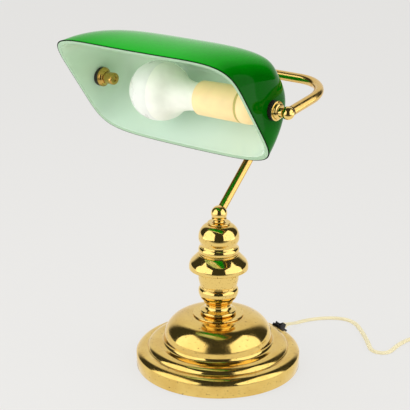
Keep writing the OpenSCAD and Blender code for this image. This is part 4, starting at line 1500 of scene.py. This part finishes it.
@dataclass
class HeadPieces:
    """The swivel, the arm, the yoke and the fittings at the ends of the glass.

    Attributes:
        ball_z: Height of the ball at the arm's foot.
        neck_z: Top of the stud under it.
        ball_r: Radius of that ball.
        tube_r: Radius of the bent tubes.
        lean: Angle by which the arm's foot leans back, in degrees.
        back: Angle by which its upper end leans forwards.
        bend_r: Radius of the arm's bend.
        yoke_half: Half width of the yoke.
        yoke_bend: Radius of its bends.
        yoke_depth: Distance from the pivot to its bar.
        yoke_rise: Slope of the yoke.
        yoke_ball_r: Radius of its end balls.
        glass_out: Distance from the middle to the glass's outer face on the pivot.
        pad_t: Thickness of the rubber pad between glass and cup.
    """

    ball_z: float = 170.6
    neck_z: float = 166.4
    ball_r: float = 8.5
    tube_r: float = 4.75
    lean: float = 46.0
    back: float = 35.0
    bend_r: float = 32.0
    yoke_half: float = 129.0
    yoke_bend: float = 40.0
    yoke_depth: float = 76.8
    yoke_rise: float = 10.0
    yoke_ball_r: float = 6.25
    glass_out: float = 111.7
    pad_t: float = 4.5

    @property
    def bar(self) -> Point:
        """Y and Z of the yoke's bar."""
        rise = math.radians(self.yoke_rise)
        return (PIVOT[0] + self.yoke_depth * math.cos(rise),
                PIVOT[1] + self.yoke_depth * math.sin(rise))

    def arm_runs(self) -> Point:
        """Works out the arm's straights, so that it ends at the yoke's bar.

        Returns:
            Lengths of the lower and the upper straight.
        """
        a, b = math.radians(self.lean), math.radians(self.back)
        gap_y = self.bar[0] - self.bend_r * (math.cos(b) - math.cos(a))
        gap_z = self.bar[1] - self.ball_z - self.bend_r * (math.sin(a) + math.sin(b))
        whole = math.sin(a + b)
        return ((gap_y * math.cos(b) + gap_z * math.sin(b)) / whole,
                (gap_z * math.sin(a) - gap_y * math.cos(a)) / whole)

    def on_pivot(self, x: float, side: Side) -> Matrix:
        """A place on the pivot line, Z outwards."""
        return shift(side.value * x, *PIVOT) @ rotation(90 * side.value, "Y")

    def at_bar(self) -> Matrix:
        """The yoke's frame: X along the bar, Y to the back along its arms."""
        return shift(0, *self.bar) @ rotation(self.yoke_rise, "X")

    def ring_start(self, name: str, at: Spot, direction: Vector) -> bpy.types.Object:
        """Starts a tube.

        Args:
            name: Name of the tube.
            at: Its first point in metres.
            direction: The way that it goes.

        Returns:
            A circle in edit mode that looks along the direction.
        """
        bpy.ops.object.select_all(action="DESELECT")
        bpy.ops.mesh.primitive_circle_add(vertices=40, radius=self.tube_r * MM)
        piece = bpy.context.object
        piece.name = name
        placed(piece, Matrix.Translation(at) @ direction.to_track_quat("Z", "Y")
               .to_matrix().to_4x4())
        start_edit()
        return piece

    def straight(self, step: Vector) -> None:
        """Pulls the selected end of a tube along a vector in metres."""
        bpy.ops.mesh.extrude_region_move(TRANSFORM_OT_translate={"value": step})

    def bend(self, centre: Vector, axis: Vector, degrees: float) -> None:
        """Bends the selected end of a tube round an axis, which spin turns left-handed."""
        bpy.ops.mesh.spin(steps=28, angle=-math.radians(degrees), center=centre, axis=axis)

    def arm(self) -> None:
        """Bends the C-shaped arm from the ball to the hub."""
        low, high = self.arm_runs()
        a, b = math.radians(self.lean), math.radians(self.back)
        ahead = Vector((0, math.sin(a), math.cos(a)))
        start = Vector((0, 0, self.ball_z)) + ahead * 4
        piece = self.ring_start("arm_bent_tube", start * MM, ahead)
        self.straight(ahead * (low - 4) * MM)
        turn_at = Vector((0, 0, self.ball_z)) + ahead * low
        centre = turn_at + Vector((0, -math.cos(a), math.sin(a))) * self.bend_r
        self.bend(centre * MM, Vector((1, 0, 0)), self.lean + self.back)
        self.straight(Vector((0, -math.sin(b), math.cos(b))) * (high - 8) * MM)
        bpy.ops.mesh.edge_face_add()
        close_edit()
        smooth(piece, 60)
        finished(piece, SHADED_TUBE_BRASS, Body.HEAD, "arm_tube")

    def yoke(self) -> None:
        """Bends the yoke from ball to ball."""
        half, r = self.yoke_half, self.yoke_bend
        reach = self.yoke_depth - 5.2
        piece = self.ring_start("yoke_bent_tube", Vector((-half, -reach, 0)) * MM,
                                Vector((0, 1, 0)))
        self.straight(Vector((0, reach - r, 0)) * MM)
        self.bend(Vector((-half + r, -r, 0)) * MM, Vector((0, 0, -1)), 90)
        self.straight(Vector((2 * (half - r), 0, 0)) * MM)
        self.bend(Vector((half - r, -r, 0)) * MM, Vector((0, 0, -1)), 90)
        self.straight(Vector((0, -(reach - r), 0)) * MM)
        close_edit()
        placed(piece, self.at_bar())
        smooth(piece, 60)
        finished(piece, SHADED_TUBE_BRASS, Body.HEAD, "yoke_tube")

    def hub(self) -> None:
        """Makes the cross fitting that joins the arm to the bar."""
        sleeve = turned("yoke_cross", eased([(0, 0), (7.0, 0), (7.6, 0.9), (7.6, 25.1),
                                             (7.0, 26), (0, 26)], 0.6),
                        self.at_bar() @ shift(-13, 0, 0) @ rotation(90, "Y"), steps=64)
        socket = turned("yoke_socket", eased([(0, -14), (6.6, -14), (6.6, 0), (0, 0)], 0.5),
                        shift(0, *self.bar) @ rotation(self.back, "X"), steps=64)
        joined(sleeve, socket, "UNION")
        smooth(sleeve, 40)
        finished(sleeve, POLISHED, Body.HEAD, "yoke_hub")

    def ball(self, name: str, radius: float, at: Spot, node: str) -> None:
        """Makes a polished ball.

        Args:
            name: Name of the piece.
            radius: Radius in millimetres.
            at: Its middle in millimetres.
            node: The node that it replaces.
        """
        outline = arc((0, 0), radius, radius, -90, 90, 40)
        piece = turned(name, outline, shift(*at), closed=False, steps=64)
        finished(piece, POLISHED, Body.HEAD, node)

    def fittings(self, side: Side) -> None:
        """Makes the turned fittings at one end of the glass, from the ball inwards.

        Args:
            side: The end of the yoke.
        """
        word = side.name.lower()
        self.ball(f"{word}_end_ball", self.yoke_ball_r,
                  (side.value * self.yoke_half, *PIVOT), f"{word}_ball")
        pad = self.glass_out + self.pad_t
        neck = [(4.0, pad + 5.3), (5.4, pad + 5.3), (5.0, pad + 6.6), (5.0, pad + 8.6),
                (4.0, pad + 8.6)]
        finished(turned(f"{word}_neck", eased(neck, 0.3), self.on_pivot(0, side)), POLISHED,
                 Body.HEAD)
        cup = [(4.05, pad + 0.1), (8.7, pad + 0.1)] + arc((8.7, pad + 0.7), 0.6, 0.6, -90, 90, 8)
        cup += [(7.9, pad + 1.3), (7.9, pad + 1.9)]
        cup += arc((5.2, pad + 1.9), 2.7, 2.6, 0, 70, 12) + [(5.6, pad + 5.2), (4.05, pad + 5.2)]
        finished(turned(f"{word}_outer_cup", eased(cup, 0.2), self.on_pivot(0, side)), POLISHED,
                 Body.HEAD, f"{word}_cup")
        dish = [(4.05, 102.9), (4.05, 98.6), (6, 98.6)]
        dish += arc((5.4, 102), 3.4, 3, -70, -20, 10) + [(9.2, 102)]
        dish += arc((9.3, 102.5), 0.5, 0.5, -90, 90, 8)
        finished(turned(f"{word}_inner_dish", dish, self.on_pivot(0, side)), BRASS_IN_PAINTED_SHADE,
                 Body.HEAD, f"{word}_inner_cup")

    def knob(self) -> None:
        """Makes the nut on the left nipple, a plain round knob with a flat end."""
        outline = [(0, 98.5), (5.6, 98.5), (6.1, 98), (6.2, 88), (5.7, 87.1), (2.6, 86.9),
                   (2.2, 88.4), (0, 88.4)]
        finished(turned("left_round_knob", eased(outline, 0.4), self.on_pivot(0, Side.LEFT),
                        steps=64), BRASS_IN_PAINTED_SHADE, Body.HEAD, "left_knob")

    def neck(self) -> None:
        """Makes the turned stud under the lower ball."""
        z = self.ball_z
        outline = [(0, 153.2), (4, 153.2), (4, 161.4), (7.2, 161.4)]
        outline += arc((9, 163.1), 2.9, 1.8, 236, 124, 14)
        outline += arc((7.2, self.neck_z - 0.9), 0.9, 0.9, -70, 90, 10) + [(0, self.neck_z)]
        finished(turned("swivel_turned_stud", eased(outline, 0.2), closed=False), POLISHED,
                 Body.HEAD, "swivel_stud")
        self.ball("arm_foot_ball", self.ball_r, (0, 0, z), "column_ball")

    def build(self) -> None:
        """Makes all pieces of the head's metalwork."""
        self.neck()
        self.arm()
        self.yoke()
        self.hub()
        for side in Side:
            self.fittings(side)
        self.knob()


@dataclass(frozen=True)
class Row:
    """One ring of the glass's surface.

    Attributes:
        share: Share of the depth, 0 at the rim and 1 at the crown.
        inset: Distance inside the outer surface, in millimetres.
        lift: Distance up from the rim's edge, in millimetres.
        pull: Share of the way out from the ring's middle.
    """

    share: float
    inset: float
    lift: float
    pull: float


@dataclass
class Shade:
    """The trough of cased glass.

    Attributes:
        half: Half length at the rim, in millimetres.
        wide: Half width at the rim.
        deep: Depth from the rim to the crown.
        tilt: Tilt of the opening towards the front, in degrees.
        glass_t: Thickness of the glass.
        rim_shift: Distance of the rim's middle from the pivot, across the opening.
        rim_drop: Distance of the rim from the pivot, out of the opening.
        rim_bow: How far the middle of the long edges stands proud of the ends.
        crown_len: Half length of the flat crown.
        crown_wide: Half width of the crown.
        crown_shift: Distance of the crown's middle from the rim's, across.
        end_curve: Exponent of the ends' profile.
        side_curve: Exponent of the long sides' profile.
        round_r: Radius of the rim's two corners.
        line_t: Width of the green layer's cut edge on the flat rim.
        hole_r: Radius of the holes for the nipples.
        rings: Rings from the rim to the crown.
        sides: Points on each ring.
    """

    half: float = 112.5
    wide: float = 66.5
    deep: float = 71.0
    tilt: float = 54.4
    glass_t: float = 4.3
    rim_shift: float = -15.0
    rim_drop: float = 24.8
    rim_bow: float = 2.3
    crown_len: float = 66.0
    crown_wide: float = 20.0
    crown_shift: float = 13.0
    end_curve: float = 2.9
    side_curve: float = 1.42
    round_r: float = 0.5
    line_t: float = 0.45
    hole_r: float = 6.15
    rings: int = 40
    sides: int = 144

    def place(self, row: Row, angle: float) -> Vector:
        """A point of the glass's surface.

        Args:
            row: The ring that the point lies on.
            angle: Place round the ring in radians.

        Returns:
            The point in metres.
        """
        s, end, side = row.share, self.end_curve, self.side_curve
        length = self.crown_len + (self.half - self.crown_len) * (1 - s ** end) ** (1 / end)
        width = self.crown_wide + (self.wide - self.crown_wide) * (1 - s ** side) ** (1 / side)
        square = 6 - 2.4 * s ** 0.65
        x = (length - row.inset) * power(math.cos(angle), 2 / square) * row.pull
        u = (width - row.inset) * power(math.sin(angle), 2 / square) * row.pull
        bow = self.rim_bow * max(0.0, 1 - (x / self.half) ** 2) * (1 - s)
        u += self.rim_shift + self.crown_shift * s
        drop = self.rim_drop - (self.deep - row.inset) * s + bow - row.lift
        t = math.radians(self.tilt)
        return Vector((x, PIVOT[0] + u * math.cos(t) - drop * math.sin(t),
                       PIVOT[1] - u * math.sin(t) - drop * math.cos(t))) * MM

    def wall(self, inset: float) -> list[Row]:
        """Lists the rows of one surface, from its crown's middle to just over the rim.

        Args:
            inset: Distance inside the outer surface.

        Returns:
            The rows.
        """
        rows = [Row(1.0, inset, 0.0, i / 10) for i in range(10)]
        for i in range(self.rings):
            rows.append(Row(1 - (i / self.rings) ** 1.5, inset, 0.0, 1.0))
        return rows

    def rows(self) -> tuple[list[Row], list[Finish]]:
        """All rows from the inner crown over the rim to the outer crown.

        Returns:
            The rows, and the finish of the faces after each row but the last.
        """
        t, r = self.glass_t, self.round_r
        corner = [(r - r * math.cos(math.radians(a)), r - r * math.sin(math.radians(a)))
                  for a in (0, 30, 60, 90)]
        inner = self.wall(t) + [Row(0.0, t - cut, lift, 1.0) for cut, lift in corner]
        outer = [Row(0.0, r + self.line_t, 0.0, 1.0)]
        outer += [Row(0.0, cut, lift, 1.0) for cut, lift in reversed(corner)]
        outer += reversed(self.wall(0.0))
        finishes = [OPAL] * (len(inner) - 4) + [GROUND] * 4 + [EDGE] * 4
        finishes += [GREEN] * (len(inner) + len(outer) - 1 - len(finishes))
        return inner + outer, finishes

    def shell(self) -> bpy.types.Object:
        """Pulls a ring through all rows and gives each band of faces its finish.

        Returns:
            The glass, without its holes.
        """
        rows, finishes = self.rows()
        bpy.ops.object.select_all(action="DESELECT")
        bpy.ops.mesh.primitive_circle_add(vertices=self.sides, radius=1, fill_type="NOTHING")
        glass = bpy.context.object
        glass.name = "shade_cased_glass"
        start_edit()
        for _ in finishes:
            bpy.ops.mesh.extrude_region_move(TRANSFORM_OT_translate={"value": (0, 0, 1)})
        bpy.ops.object.mode_set(mode="OBJECT")
        kinds = (GREEN, OPAL, GROUND, EDGE)
        for finish in kinds:
            glass.data.materials.append(finish.material())
        for face in glass.data.polygons:
            face.material_index = kinds.index(finishes[math.floor(face.center.z)])
        for vertex in glass.data.vertices:
            angle = math.atan2(vertex.co.y, vertex.co.x)
            vertex.co = self.place(rows[round(vertex.co.z)], self.even(angle))
        start_edit()
        close_edit(1e-5)
        return glass

    def even(self, angle: float) -> float:
        """Spreads the points of a ring towards its four corners."""
        return angle - 0.08 * math.sin(4 * angle)

    def build(self) -> None:
        """Makes the glass with its ground rim and its two holes."""
        glass = self.shell()
        for side in Side:
            bpy.ops.object.select_all(action="DESELECT")
            bpy.ops.mesh.primitive_cylinder_add(vertices=48, radius=self.hole_r * MM,
                                                depth=30 * MM)
            drill = placed(bpy.context.object,
                           shift(side.value * 110, *PIVOT) @ rotation(90, "Y"))
            joined(glass, drill, "DIFFERENCE")
        smooth(glass, 50)
        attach(glass, Body.SHADE.value)
        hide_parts("shade_glass")
        LOG.info("%s rides on shade, %d faces", glass.name, len(glass.data.polygons))


@dataclass
class BulbAndHolder:
    """The bulb in its lampholder, drooping a little from the right end.

    Attributes:
        sag: Droop in degrees.
        hold_x: Where it is held; all places along its axis are as without the droop.
        bulb_x: Middle of the globe.
        bulb_r: Radius of the globe.
        lip_x: Distance from the globe's middle to the housing's edge.
        sleeve_x: Open end of the sleeve.
        sleeve_r: Radius of the sleeve at the seam ring.
        ring_x: Seam ring.
        cap_x: Where the cap's dome begins.
    """

    sag: float = 1.2
    hold_x: float = 98.6
    bulb_x: float = -26.8
    bulb_r: float = 29.7
    lip_x: float = 6.8
    sleeve_x: float = 28.2
    sleeve_r: float = 16.8
    ring_x: float = 78.4
    cap_x: float = 82.5

    def along(self, x: float) -> Matrix:
        """A place on the drooping axis, Z towards the holder."""
        return (shift(self.hold_x, *PIVOT) @ rotation(-self.sag, "Y")
                @ shift(x - self.hold_x, 0, 0) @ rotation(90, "Y"))

    def holder(self) -> None:
        """Makes the sleeve, the seam ring and the domed cap."""
        end = self.ring_x - self.sleeve_x
        sleeve = [(14.8, end), (14.8, 1)] + arc((15.8, 0.9), 1, 0.9, 180, 360, 14)
        sleeve += [(17.3, end - 0.8), (self.sleeve_r, end)]
        finished(turned("holder_turned_sleeve", sleeve, self.along(self.sleeve_x)), CREAM,
                 Body.HEAD, "holder_sleeve")
        ring = [(14.9, 0), (16.8, 0), (17.2, 0.5), (17.2, 2.6), (16.8, 3.1), (14.9, 3.1)]
        finished(turned("holder_seam_ring", eased(ring, 0.3), self.along(self.ring_x)), SEAM_SHADE_OLIVE,
                 Body.HEAD, "holder_ring")
        cap = [(15.2, -1), (17.3, -1), (17.4, 2.4)] + arc((9.4, 4), 8, 12, 0, 80, 24)
        cap += [(4.5, 15.9), (4.5, 13.4), (9.4, 13.4)] + arc((9.2, 4), 6, 9.2, 72, 0, 12)
        finished(turned("holder_domed_cap", cap, self.along(self.cap_x)), CREAM, Body.HEAD,
                 "holder_cap")

    def bulb(self) -> None:
        """Makes the frosted globe and the flared housing."""
        r = self.bulb_r
        lip = math.degrees(math.asin(self.lip_x / r))
        globe = arc((0, 0), r, r, 90, -lip, 56)
        globe += list(reversed(arc((0, 0), r - 1.4, r - 1.4, 90, -lip, 56)))
        finished(turned("bulb_frosted_globe", [(x, -z) for x, z in globe],
                        self.along(self.bulb_x), closed=False, steps=128),
                 GLOBE, Body.HEAD, "bulb_globe")
        housing = [(4, 50.6), (12.9, 50.6), (13.4, 49.8), (13.6, 44)]
        housing += arc((31.6, 43.5), 18, 33, 180, 236, 30)
        housing += [(24.6, 13), (27.0, 8), (28.3, 4.4), (28.9, 1.6), (28.9, 0.1)]
        finished(turned("bulb_flared_housing", housing, self.along(self.bulb_x + self.lip_x),
                        closed=False, steps=128, wall=1.6), HOUSING, Body.HEAD, "bulb_housing")

    def build(self) -> None:
        """Makes the visible pieces of the bulb and the holder."""
        self.holder()
        self.bulb()


def dress_nodes() -> None:
    """Gives each node that stays shown its finish."""
    for finish, names in CAD_FINISHES.items():
        for name in names:
            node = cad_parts[name]
            node.data.materials.clear()
            node.data.materials.append(finish.material())


def main() -> None:
    """Builds the studio and the lamp."""
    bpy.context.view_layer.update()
    Studio().build()
    Flex().build()
    BasePieces().build()
    ColumnPieces().build()
    HeadPieces().build()
    Shade().build()
    BulbAndHolder().build()
    dress_nodes()


if __name__ == "__main__":
    main()
